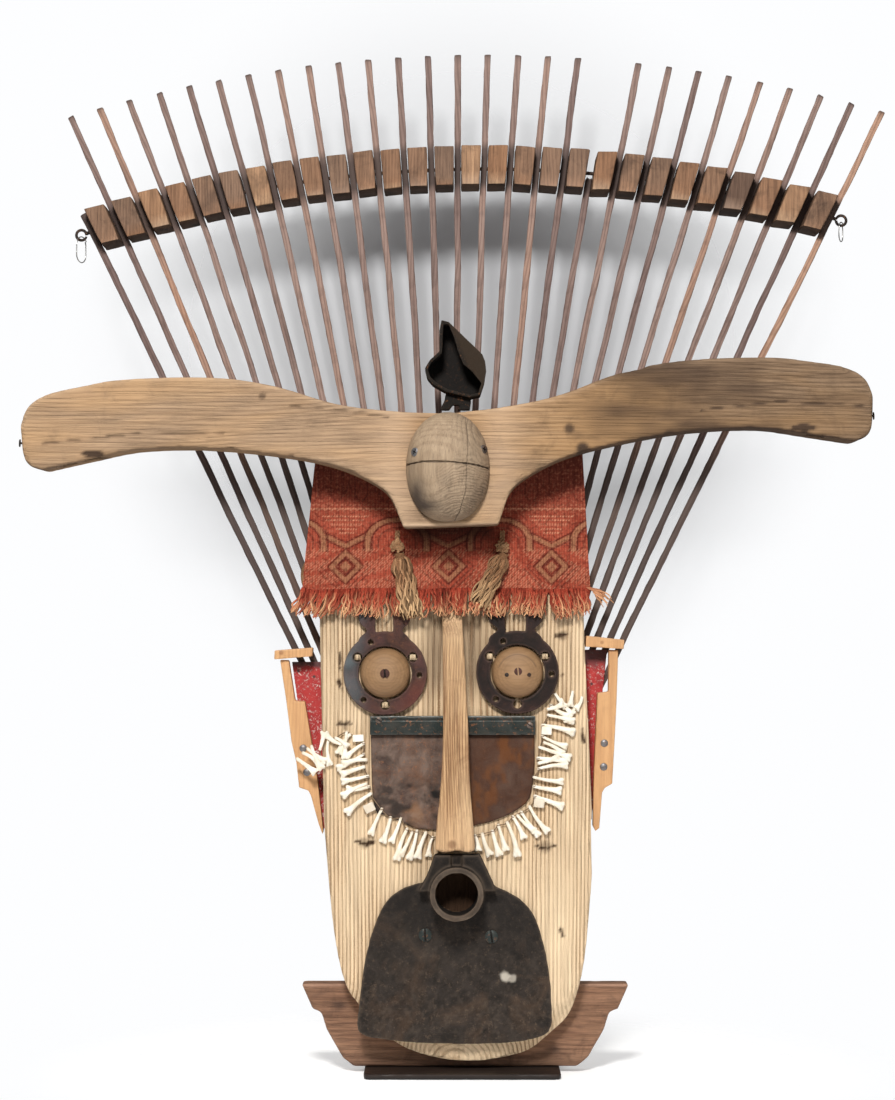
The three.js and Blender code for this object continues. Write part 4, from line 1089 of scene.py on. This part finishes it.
PAINT = paint_look()
RIVETS = {"left": ((-170.6, 349.5), (-166.5, 323.8)), "right": ((152.6, 354.9), (151.9, 329.6))}
RIVET_PROFILE = [(0, -6), (1.6, -6), (1.6, -0.3), (4.1, -0.2), (4.0, 0.6), (2.9, 1.4), (1.1, 1.8),
                 (0, 1.8)]
KNOTS = {"left": (-194, 452, 3.4), "right": (150, 463, 2.6)}
# Where the darker band along the top of each leaf starts and ends below its top, and how ragged its
# edge is.
LEAF_TOP_BAND = {"left": (9, 3, 2), "right": (24, 10, 3)}
for side, rivets in RIVETS.items():
    p = Skin("ear_stave_" + side, "ear_bar_" + side, 1.0, 2).wear(0.25, 25, 0.9, 6, 17, (1, 1, 0.3))
    p.done(BEECH, "beech", dark=0.25 * p.bite + 0.25 * ease(300, 250, p.z), pale=0.1)
    front_y = p.low[1]
    p = Skin("ear_strip_" + side, "ear_cap_" + side, 0.8, 2).wear(0.2, 15, 0.8, 5, 18)
    p.done(BEECH, "beech", dark=0.6 * dot(p.co, *KNOTS[side]) + 0.2 * p.bite, pale=0.1)
    p = Skin("ear_leaf_painted_" + side, "ear_leaf_" + side, 0.7, 1)
    p.push(0.12 * fractal(p.co / 9, 19))
    deep, shallow, ragged = LEAF_TOP_BAND[side]
    top = p.high[2]
    band = ease(top - deep, top - shallow, p.z + ragged * value_noise(p.co / 6, 8))
    holes = dots(p.co, (-177, 432, 2.2), (-160, 426, 2.2), (133, 440, 2.2), (140, 418, 2))
    p.done(PAINT, "leaf_paint",
           dark=0.9 * band + holes + 0.25 * ease(0.2, 0.8, fractal(p.co / 14, 20)))
    for k, (x, z) in enumerate(rivets):
        piece(f"ear_rivet_{side}_{k}", lathe(RIVET_PROFILE, (x, front_y, z), 24), RIVET,
              "screw_steel")

# ---- bone string ----
def bone_look():
    s = Look("bone", 0.45)
    mottled = s.noise(90, 4.0, 0.6)
    pores = s.noise(900, 3.0, 0.7)
    colour = s.mix(s.rise(mottled, 0.35, 0.7), (0.92, 0.88, 0.77), (0.80, 0.71, 0.56))
    colour = s.mix(s.rise(pores, 0.6, 0.75, 0.35), colour, (0.42, 0.30, 0.18))
    colour = s.mix(s.value("dark"), colour, (0.36, 0.24, 0.13))
    s.bump(pores, 0.1, 0.6)
    s.bump(mottled, 0.3, 0.5)
    s.fixed({"Subsurface Weight": 0.08, "Subsurface Radius": (0.004, 0.003, 0.002)})
    return s.done(colour)


def yarn_look(name, colour, tip_colour, shade, ply=700):
    s = Look(name, 0.95, specular=0.08)
    fuzz = s.noise(ply, 3.0, 0.8)
    c = s.mix(s.rise(fuzz, 0.3, 0.7), shade, colour)
    c = s.mix(s.value("tip"), c, tip_colour)
    c = s.mix(s.value("dark"), c, tuple(0.35 * x for x in shade))
    s.bump(fuzz, 0.25, 0.9)
    return s.done(c)


BONE = bone_look()
TWINE = yarn_look("twine", (0.30, 0.21, 0.13), (0.4, 0.3, 0.2), (0.14, 0.09, 0.055), 900)
TASSEL = yarn_look("tassel_yarn", (0.46, 0.24, 0.12), (0.66, 0.43, 0.23), (0.13, 0.06, 0.03))
FRINGE = yarn_look("fringe_yarn", (0.56, 0.095, 0.05), (0.74, 0.42, 0.22), (0.20, 0.03, 0.02))
BONE_PLANE = BOARD_FRONT - 4.4
# Each small bone: where its thin end is tied, and where its knob lies (x, z, x, z).
BONES_LEFT = [(-177, 340, -156, 324), (-171, 346, -151, 331), (-161, 354, -149, 328),
              (-152, 348, -147, 368), (-143, 359, -141, 332), (-128, 354, -147, 366),
              (-123, 369, -125, 339), (-104, 356, -124, 341), (-104, 345, -134, 329),
              (-103, 331, -130, 322), (-99, 321, -129, 315), (-98, 310, -124, 307),
              (-96, 303, -124, 281), (-85, 287, -98, 258), (-76, 278, -85, 250),
              (-65, 277, -76, 250), (-58, 266, -70, 231), (-48, 264, -57, 232),
              (-38, 262, -48, 233), (-31, 257, -36, 235),
              (-166, 351, -145, 336), (-136, 362, -122, 352), (-119, 366, -132, 344),
              (-101, 338, -128, 333), (-101, 313, -128, 299), (-53, 262, -66, 236)]
BONES_RIGHT = [(99, 409, 111, 394), (118, 412, 115, 395), (128, 406, 121, 392), (93, 397, 115, 384),
               (90, 386, 120, 379), (84, 375, 120, 367), (84, 364, 112, 352), (81, 352, 116, 340),
               (79, 340, 113, 337), (80, 328, 113, 332), (75, 320, 108, 315), (75, 310, 106, 305),
               (76, 300, 108, 288), (71, 290, 92, 261), (62, 284, 82, 257), (53, 279, 66, 254),
               (47, 273, 59, 235), (38, 270, 47, 241), (32, 264, 40, 236), (21, 261, 30, 236),
               (13, 259, 17, 241), (105, 404, 119, 386), (90, 392, 108, 398),
               (124, 398, 112, 377), (80, 334, 104, 342), (86, 357, 108, 344), (58, 280, 78, 262)]


def small_bone(k, x0, z0, x1, z1):
    rnd = np.random.default_rng(500 + k)
    lift = 1.6 * (k % 3 == 0) + (2.2 if k in (2, 3, 5, 21) else 0)
    start = np.array([x0, BONE_PLANE - lift, z0], float)
    end = np.array([x1, BONE_PLANE - lift * 0.6, z1], float)
    t = np.concatenate([[0, 0.012], np.linspace(0.04, 0.84, 13), np.linspace(0.87, 0.985, 8),
                        [1.0]])
    axis, sides = unit(end - start), 14
    bow = rnd.uniform(-1.9, 1.9)
    path = start + t[:, None] * (end - start) \
        + (bow * np.sin(math.pi * t))[:, None] * np.cross(axis, (0, 1, 0))
    stout = rnd.uniform(0.88, 1.12)
    r = np.interp(t, [0, 0.02, 0.06, 0.16, 0.45, 0.7, 0.84, 0.92, 0.97, 1.0],
                  [0.8, 1.45, 1.8, 1.6, 2.0, 2.5, 3.3, 4.1, 3.9, 2.7]) * stout
    verts, faces = sweep(path, r, sides, False, 0.78)
    a = np.tile(np.arange(sides) * 2 * math.pi / sides, len(t))
    t, centre = np.repeat(t, sides), np.repeat(path, sides, 0)
    knob, lobe = ease(0.8, 0.95, t), np.abs(np.cos(a))
    # The knob has two lobes with a groove between them.
    verts = centre + (verts - centre) * (1 + knob * (0.16 * np.cos(2 * a) - 0.05))[:, None]
    verts += axis * (1.5 * knob * (lobe - 0.6) * (t > 0.9))[:, None]
    verts += 0.12 * rnd.standard_normal(verts.shape)
    dark = 0.5 * ease(0.07, 0.0, t) + 0.25 * knob * ease(0.55, 0.1, lobe) + rnd.uniform(0, 0.12)
    return (verts, faces), (dark,)


shapes, marks = zip(*[small_bone(k, *b) for k, b in enumerate(BONES_LEFT + BONES_RIGHT)])
piece("bones", merge(shapes), BONE, "bone", ("bone_string",), sharp=60,
      dark=np.clip(joined(marks)[0], 0, 1))


def tied(bones):
    """Where the twine is tied to each bone, near its thin end."""
    return [(b[0] * 0.93 + b[2] * 0.07, b[1] * 0.93 + b[3] * 0.07) for b in bones]


ties = tied(BONES_LEFT[6:20]) + [(-26, 256), (-8, 253), (8, 256)] + tied(BONES_RIGHT[20:2:-1]) \
    + [(110, 394), (117, 393), (121, 394)]
route = spline([(x, BONE_PLANE, z) for x, z in ((-152, 341), (-148, 362), (-136, 361))]
               + [(x, BONE_PLANE + 1.0, z) for x, z in ties], 6)
twine_parts = [sweep(route, 0.62 + 0.12 * np.sin(np.arange(len(route)) * 1.9), 6)]
for k, (x, z) in enumerate(ties):
    a = np.linspace(0, TURN, 14)[:-1]
    loop = np.stack([x + 1.9 * np.cos(a), BONE_PLANE + 0.4 + 2.1 * np.sin(a),
                     z + 0.5 * np.cos(a + k)], 1)
    twine_parts.append(sweep(loop, 0.4, 5, True, up=(0, 0, 1)))
piece("bone_twine", merge(twine_parts), TWINE, "tassel_yarn", ("bone_string",), sharp=60)


def bead(name, x, z, w, h, turn, tone):
    """A flat bead with a groove across its front."""
    b = bmesh.new()
    bmesh.ops.create_cube(b, size=1)
    bmesh.ops.scale(b, vec=(w, 5.0, h), verts=b.verts)
    bmesh.ops.bevel(b, geom=list(b.edges), offset=1.2, segments=3, profile=0.6, affect="EDGES")
    co = np.array([v.co[:] for v in b.verts])
    faces = [tuple(v.index for v in f.verts) for f in b.faces]
    b.free()
    co[:, 1] += 0.5 * ease(1.0, 0.4, np.abs(co[:, 2])) * (co[:, 1] < 0)
    across, up = turned(co[:, 0], co[:, 2], turn)
    co = np.stack([across + x, co[:, 1] + BONE_PLANE + 0.3, up + z], 1)
    piece(name, (co, faces), BONE, "bone", ("bone_string",), sharp=40, dark=np.full(len(co), tone))


bead("bead_white_left", -111, 361, 12, 7.5, 0.05, 0.0)
bead("bead_white_right", 90, 369, 11, 8.5, -0.05, 0.0)
bead("bead_tan_left", -99, 287, 11.5, 9.5, 0.45, 0.42)
bead("bead_tan_right", 82, 292, 11.5, 9.5, -0.1, 0.38)

# ---- cloth ----
HEM, SHEET = 519.0, 1.5
CLOTH_TOP = box_mm("cloth")[1][2]
CLOTH_SIDES = (-153.0, -171.0), (127.0, 136.6)
PATTERN_REPEAT, PATTERN_MIDDLE = 110.0, -14.5


def stripe(d, middle, half, soft=0.45):
    return ease(half + soft, half - soft, np.abs(d - middle))


def cloth_pattern(x, up):
    """The woven design at x, and up from the hem: tan bands, dark outlines, pale dashes."""
    q = (x - PATTERN_MIDDLE + PATTERN_REPEAT / 2) % PATTERN_REPEAT - PATTERN_REPEAT / 2
    away = np.abs(q)
    from_arch = PATTERN_REPEAT / 2 - away
    diamond = (away / 19.5 + np.abs(up - 25) / 19.5) * 13.3
    # Arches stand between the diamonds, one band inside another. Arms run out and up from the top
    # of each diamond to their feet.
    arch = np.where(up > 52, np.hypot(from_arch, (up - 52) * 1.35), from_arch)
    arm = up - (47 + away * 0.5)
    on_arch, on_arm = (up > 41) & (up < 92), (away < 22) & (up > 44)
    tan = np.maximum.reduce([stripe(diamond, 10.2, 2.3), ease(4.6, 3.8, diamond),
                             stripe(arch, 31.5, 3.0) * on_arch, stripe(arm, 0, 2.6) * on_arm])
    uprights = np.abs((x + 4) % 26.0 - 13)
    upright = stripe(uprights, 6.5 + 0.5 * ease(104, 96, up) * (104 - up), 0.9) * (up > 94)
    scroll = stripe(np.abs(uprights - 6.5) + 0.35 * np.abs(up - 122), 9, 0.8) \
        * (up > 104) * (up < 140)
    line = np.maximum.reduce([
        stripe(diamond, 13.3, 0.75), stripe(diamond, 7.0, 0.75), stripe(diamond, 5.4, 0.5),
        0.8 * stripe(diamond, 18.0, 0.7) * (up < 30), 0.8 * stripe(diamond, 22.0, 0.7) * (up < 22),
        stripe(arch, 35.6, 0.9) * on_arch, stripe(arch, 27.4, 0.9) * on_arch,
        0.8 * stripe(arch, 20, 0.8) * (up > 44) * (up < 92),
        stripe(arm, 3.8, 0.8) * on_arm, stripe(arm, -3.8, 0.8) * on_arm,
        0.8 * upright, 0.6 * scroll, 0.6 * stripe(away, 52, 0.8) * (up < 40)])
    # Dashed rows narrow downwards between the arches; flecks fill the ground near the hem.
    rows = sum(stripe(up, z, 0.7) for z in (61, 65.5, 70, 74.5, 79))
    dash = rows * (np.sin(x * 2.1) > -0.2) * (away < 4 + (up - 56) * 0.9)
    zigzag = stripe(up, 86 + 1.6 * np.abs((x / 3.4) % 2 - 1), 0.7) \
        + 0.6 * stripe(up, 91.5, 0.6) * (np.sin(x * 1.3) > 0.1)
    flecks = (np.sin(x * 2.3) * np.sin(up * 2.0 + x * 0.6) > 0.35) * (diamond > 14) \
        * (up < 44) * 0.55
    return tan, line, np.clip(dash + 0.8 * zigzag + flecks, 0, 1)


def cloth_look():
    s = Look("cloth_weave", 0.95, specular=0.08)
    flat = s.put("CombineXYZ", X=s.value("across"), Y=s.value("along")).outputs[0]
    ribs = s.bands(112.0, 2.5, 3.0, 20.0, "X", flat)
    weft = s.bands(145.0, 4.0, 3.0, 20.0, "Y", flat)
    speckle, fade, deep = (s.noise(scale, 3.0, 0.5, at=flat) for scale in (340.0, 22.0, 260.0))
    base = s.mix(s.rise(fade, 0.35, 0.65), (0.33, 0.057, 0.031), (0.47, 0.093, 0.053))
    # Towards the top the cloth is darker, partly its own darker colour and partly painted shade
    # under the yoke.
    colour = s.mix(s.value("top"), base, (0.13, 0.036, 0.023))
    for key, thread in (("tan", (0.38, 0.165, 0.085)), ("line", (0.085, 0.015, 0.011)),
                        ("pale_thread", (0.74, 0.34, 0.20))):
        colour = s.mix(s.value(key), colour, thread)
    for fac, start, end, amount, other in (
            (speckle, 0.50, 0.62, 0.3, (0.58, 0.22, 0.13)),
            (deep, 0.50, 0.38, 0.5, (0.09, 0.018, 0.012)),
            (s.math("MULTIPLY", ribs, weft), 0.3, 0.0, 0.15, (0.10, 0.02, 0.014)),
            (ribs, 0.5, 0.1, 0.3, (0.10, 0.02, 0.014))):
        colour = s.mix(s.rise(fac, start, end, amount), colour, other)
    # Painted shadow of the yoke's pad, near black, just under the pad.
    colour = s.mix(s.value("painted_shade_and_soot"), colour, (0.022, 0.008, 0.006))
    for height, distance, strength in ((ribs, 0.4, 0.9), (weft, 0.25, 0.8), (speckle, 0.15, 0.6)):
        s.bump(height, distance, strength)
    return s.done(colour)


def make_cloth():
    """One sheet, draped over the board's top edge and hanging down behind. Returns its piece, its
    length, its flat area and the points of its hem."""
    mid, back = BOARD_FRONT - 2.2, BOARD_BACK + 1.4
    top = CLOTH_TOP - SHEET / 2 - 0.3
    line = spline([(mid - 0.9, HEM), (mid - 0.2, HEM + 30), (mid, 600), (mid, 670), (mid, top - 6),
                   (mid + 1.8, top - 1.4), (mid + 6, top), (mid + 18, top), (back - 5, top),
                   (back - 1.2, top - 1.6), (back, top - 6), (back, top - 18), (back, 668.5)], 40)
    step = np.concatenate([[0], np.cumsum(np.linalg.norm(np.diff(line, axis=0), axis=1))])
    length = step[-1]
    rows, cols = int(length / 1.35), 228
    s = np.linspace(0, length, rows)
    y, z = np.interp(s, step, line[:, 0]), np.interp(s, step, line[:, 1])
    left, right = (at_top + (at_hem - at_top) * np.clip((CLOTH_TOP - z) / (CLOTH_TOP - HEM), 0, 1)
                   for at_top, at_hem in CLOTH_SIDES)
    over = s > top - HEM
    left, right = (np.where(over, side[np.argmax(over)], side) for side in (left, right))
    flat_area = np.sum(np.diff(s) * 0.5 * ((right - left)[1:] + (right - left)[:-1]))
    x = left[:, None] + np.linspace(0, 1, cols) * (right - left)[:, None]
    grid = np.stack(np.broadcast_arrays(x, y[:, None], z[:, None]), 2).reshape(-1, 3)
    along, flat_x = np.repeat(s, cols), grid[:, 0].copy()

    def ripple(across, down, seed):
        return value_noise(np.stack([flat_x / across, along * down, along * 0], 1), seed)

    # The hem wanders a little, soft folds run down, and the sides fall back past the board.
    front = ease(190, 170, along)
    grid[:, 2] += front * ease(60, 0, along) * (1.3 * ripple(22, 0, 60))
    folds = np.clip(ripple(26, 1 / 160, 61), -0.4, 1)
    grid[:, 1] -= front * ease(150, 20, along) * (0.35 + 0.9 * folds)
    over_left, over_right = np.clip(-150 - grid[:, 0], 0, None), np.clip(grid[:, 0] - 129, 0, None)
    grid[:, 1] += front * (0.012 * over_left**2 + 0.05 * over_right**2
                           + 1.5 * ripple(9, 1 / 30, 62) * ease(0, 8, over_left + over_right))
    tan, dark_line, pale = cloth_pattern(flat_x, along)
    relief = 0.22 * tan - 0.22 * dark_line + 0.18 * pale
    g = grid.reshape(rows, cols, 3)
    no = np.cross(np.gradient(g, axis=1), np.gradient(g, axis=0))
    no /= np.linalg.norm(no, axis=2)[..., None]
    no = no.reshape(-1, 3)
    if no[cols * 30 + 100, 1] > 0:
        no = -no
    n = rows * cols
    faces, rim = grid_faces(rows, cols)
    faces += [tuple(k + n for k in f[::-1]) for f in faces]
    faces += [(rim[k - 1], rim[k], rim[k] + n, rim[k - 1] + n) for k in range(len(rim))]
    # Painted shadow: the cloth is darkened just under the pad of the yoke, where the pad's shadow
    # falls.
    low = np.clip(586 - HEM - along, 0, None)
    painted_shade_and_soot = 0.85 * ease(30, 3, low) * ease(56, 36, np.abs(flat_x + 12 - 0.3 * low)) * (along < 200)
    marks = {"across": flat_x * MM, "along": along * MM, "tan": tan, "line": dark_line,
             "pale_thread": pale, "top": 0.9 * ease(45, 150, along), "painted_shade_and_soot": painted_shade_and_soot}
    obj = piece("cloth_panel", (np.vstack([grid + no * (SHEET / 2 + relief)[:, None],
                                           grid - no * SHEET / 2]), faces), cloth_look(),
                "cloth_weave", ("cloth",), sharp=50, **{k: np.tile(v, 2) for k, v in marks.items()})
    return obj, length, flat_area, g[0]


cloth, cloth_length, cloth_area, hem_line = make_cloth()


class Yarns:
    """Many strands made into one piece; tip marks how bleached each is, and dark how dark."""

    def __init__(self):
        self.shapes, self.marks = [], []

    def strand(self, path, radius, tip, dark, sides=6):
        """Tip and dark are one number, or one for each point of the path."""
        self.shapes.append(sweep(path, radius, sides))
        self.marks.append([np.repeat(np.broadcast_to(v, len(path)), sides) for v in (tip, dark)])

    def piece(self, name, look, slot, nodes=()):
        tip, dark = joined(self.marks)
        return piece(name, merge(self.shapes), look, slot, nodes, sharp=80, tip=tip, dark=dark)


def front_of_fringe(x, z):
    """How far forward the fringe has to lie at x, z to clear the plates and the nose."""
    nose = ease(34, 22, np.abs(x + 11)) * 11.5 * ease(514, 490, z)
    return BOARD_FRONT - 3.0 - 8.5 * ease(514, 503, z) - nose


def make_fringe():
    rnd = np.random.default_rng(900)
    yarns, count = Yarns(), 480
    clump = np.sort(rnd.uniform(0, 1, 44))
    t = np.linspace(0, 1, 15)
    for k in range(count):
        u = (k + rnd.uniform(-0.4, 0.4)) / count
        spot = hem_line[int(np.clip(u, 0, 1) * (len(hem_line) - 1))]
        home = clump[np.argmin(np.abs(clump - u))]
        lean = 9 * value_noise(np.array([[home * 17, 0.5, 0.5]]), 70)[0]
        lean += 5 * (u > 0.9) - 9 * (u < 0.3)
        length = 29 + 5 * value_noise(np.array([[home * 23, 3.5, 0.5]]), 71)[0] + rnd.uniform(-5, 3)
        pull = (home - u) * 300 * rnd.uniform(0.2, 0.9)
        wave = rnd.uniform(1.0, 4.2)
        phase, rate = rnd.uniform(0, 6.3), rnd.uniform(4, 11)
        drift = lean + pull + rnd.uniform(-5, 5)
        x = spot[0] + drift * t**1.3 + wave * t * np.sin(rate * t + phase)
        z = spot[2] + 1.5 - length * t + 1.2 * t * np.cos(rate * t + phase)
        y = front_of_fringe(x, z) - rnd.uniform(0, 4.5) * ease(0, 0.4, t) + 0.8 * np.sin(rate * t)
        y = np.where(t < 0.15, spot[1] - 0.5 + (y - spot[1] + 0.5) * t / 0.15, y)
        r = rnd.uniform(0.75, 1.3) * np.interp(t, [0, 0.1, 0.8, 1], [0.9, 1, 0.9, 0.4])
        cream = rnd.uniform(0.0, 1.0) ** 2.6
        tip = ease(0.5, 1.0, t) * rnd.uniform(0.0, 1.0) + 0.8 * cream * ease(0.05, 0.5, t)
        # Painted shade: some strands are darkened as the shade among the strands, less so towards
        # their tips.
        deep = rnd.uniform(0, 1) ** 1.5
        yarns.strand(np.stack([x, y, z], 1), r, np.clip(tip, 0, 1), 0.95 * deep * (1 - 0.45 * t))
    # One stray lock hangs off the right-hand corner.
    corner = hem_line[-1]
    for k in range(14):
        reach, sag = rnd.uniform(12, 24), rnd.uniform(8, 20)
        path = np.stack([corner[0] - 5 + (reach + 5) * t + 1.5 * np.sin(9 * t + k),
                         corner[1] - 1.2 - 2.5 * t + 0.8 * np.sin(7 * t + k),
                         corner[2] + 2 - sag * t**2 + 1.5 * np.sin(6 * t + 1.7 * k) * t], 1)
        yarns.strand(path, 0.85 * np.interp(t, [0, 0.8, 1], [1, 0.9, 0.4]), 0.3 + 0.6 * t,
                     rnd.uniform(0, 0.4))
    return yarns.piece("cloth_fringe", FRINGE, "cloth_weave", ("cloth",))


fringe = make_fringe()


def make_tassel(side, knot, wrap, end, width, seed):
    """A braid and knot above a bound neck, with a loose skirt of yarn."""
    rnd = np.random.default_rng(seed)
    knot, wrap, end = (np.array(p, float) for p in (knot, wrap, end))
    yarns = Yarns()
    down = unit(end - wrap)
    across = unit(np.cross(down, (0, 1, 0)))
    t = np.linspace(0, 1, 22)
    spread = np.interp(t, [0, 0.06, 0.18, 0.6, 1],
                       [3.5, 8.0, width * 0.44, width * 0.40, width * 0.52])
    flat = np.interp(t, [0, 0.12, 0.4, 1], [2.4, 3.8, 4.6, 3.4])
    for k in range(58):
        a = rnd.uniform(0, 2 * math.pi)
        rr = math.sqrt(rnd.uniform(0, 1))
        off, deep = rr * math.cos(a), rr * math.sin(a)
        total = np.linalg.norm(end - wrap) + rnd.uniform(-9, 2)
        curl, phase, rate = rnd.uniform(0.9, 2.4), rnd.uniform(0, 6.3), rnd.uniform(9, 20)
        path = wrap + (total * t)[:, None] * down \
            + (off * spread + curl * ease(0, 0.25, t) * np.sin(rate * t + phase))[:, None] * across
        path[:, 1] += -deep * flat + curl * 0.5 * np.cos(rate * t + phase) * ease(0, 0.3, t)
        r = rnd.uniform(0.85, 1.35) * np.interp(t, [0, 0.9, 1], [1, 0.95, 0.5])
        tip = np.clip(ease(0.3, 1.0, t) * 0.8 + rnd.uniform(-0.1, 0.3), 0, 1)
        # Painted shade: strands lying behind the others are darkened; random strands are darker
        # too.
        dark = np.clip(0.9 * rnd.uniform(0, 1) ** 1.6 + 0.35 * (deep < 0), 0, 1)
        yarns.strand(path, r, tip, dark)
    # Turns of yarn round the neck.
    a = np.linspace(0, 2 * math.pi * 5, 110)
    rise = np.linspace(-3.5, 3.5, len(a))
    coil = wrap + (4.4 * np.cos(a))[:, None] * across + rise[:, None] * down
    coil[:, 1] += 3.4 * np.sin(a)
    yarns.strand(coil, 0.85, 0.0, 0.45)
    # The knot is a crumpled clump of yarn, and a short braid leads up to the cloth from it.
    b = np.linspace(0, 1, 12)
    for k in range(26):
        turn, tilt = rnd.uniform(0, 2 * math.pi), rnd.uniform(-0.9, 0.9)
        reach = rnd.uniform(3.0, 8.5)
        out = reach * np.sin(b * math.pi * rnd.uniform(0.8, 1.3))
        clump = np.stack([out * math.cos(turn) + 1.5 * np.sin(7 * b + k),
                          -1.5 - 2.2 * np.sin(math.pi * b) * rnd.uniform(0.3, 1),
                          0.75 * out * math.sin(turn) + tilt * 2 + 1.3 * np.cos(6 * b + k)], 1)
        yarns.strand(knot + clump, 1.15, rnd.uniform(0, 0.35), rnd.uniform(0.1, 0.5))
    t = np.linspace(0, 1, 26)
    for k in range(3):
        braid = knot + t[:, None] * np.array([0.5, 2.2, 17.0])
        braid[:, 0] += 1.9 * np.sin(9 * t + k * 2.1)
        braid[:, 1] += 0.9 * np.sin(18 * t + k * 4.2)
        yarns.strand(braid, 1.15 * np.interp(t, [0, 0.8, 1], [1, 1, 0.4]), 0.15, 0.25, 7)
    return yarns.piece("tassel_skirt_" + side, TASSEL, "tassel_yarn", ("tassel_" + side,))


on_cloth = BOARD_FRONT - 8.2
tassel_left = make_tassel("left", (-69.5, on_cloth, 566), (-66.5, on_cloth - 0.5, 555),
                          (-53.5, on_cloth - 10.5, 489), 24, 41)
tassel_right = make_tassel("right", (42.5, on_cloth, 566), (43.5, on_cloth - 0.5, 555.5),
                           (14.5, on_cloth - 9.5, 501), 23, 42)


def make_edge_tuft():
    """The end of a third tassel, which hangs out past the cloth's left edge."""
    rnd = np.random.default_rng(77)
    yarns = Yarns()
    t = np.linspace(0, 1, 12)
    for k in range(20):
        x = -167.0 - 4.5 * np.sin(math.pi * t * 0.8) * rnd.uniform(0.3, 1) + rnd.uniform(-1.5, 1)
        z = 548 - (22 + rnd.uniform(-4, 4)) * t
        y = BOARD_FRONT + 3.5 + rnd.uniform(-2, 3) + np.sin(t * 9 + k)
        yarns.strand(np.stack([x, y, z], 1), 0.8, rnd.uniform(0, 0.4), rnd.uniform(0.2, 0.6))
    return yarns.piece("tassel_edge", TASSEL, "tassel_yarn")


edge_tuft = make_edge_tuft()
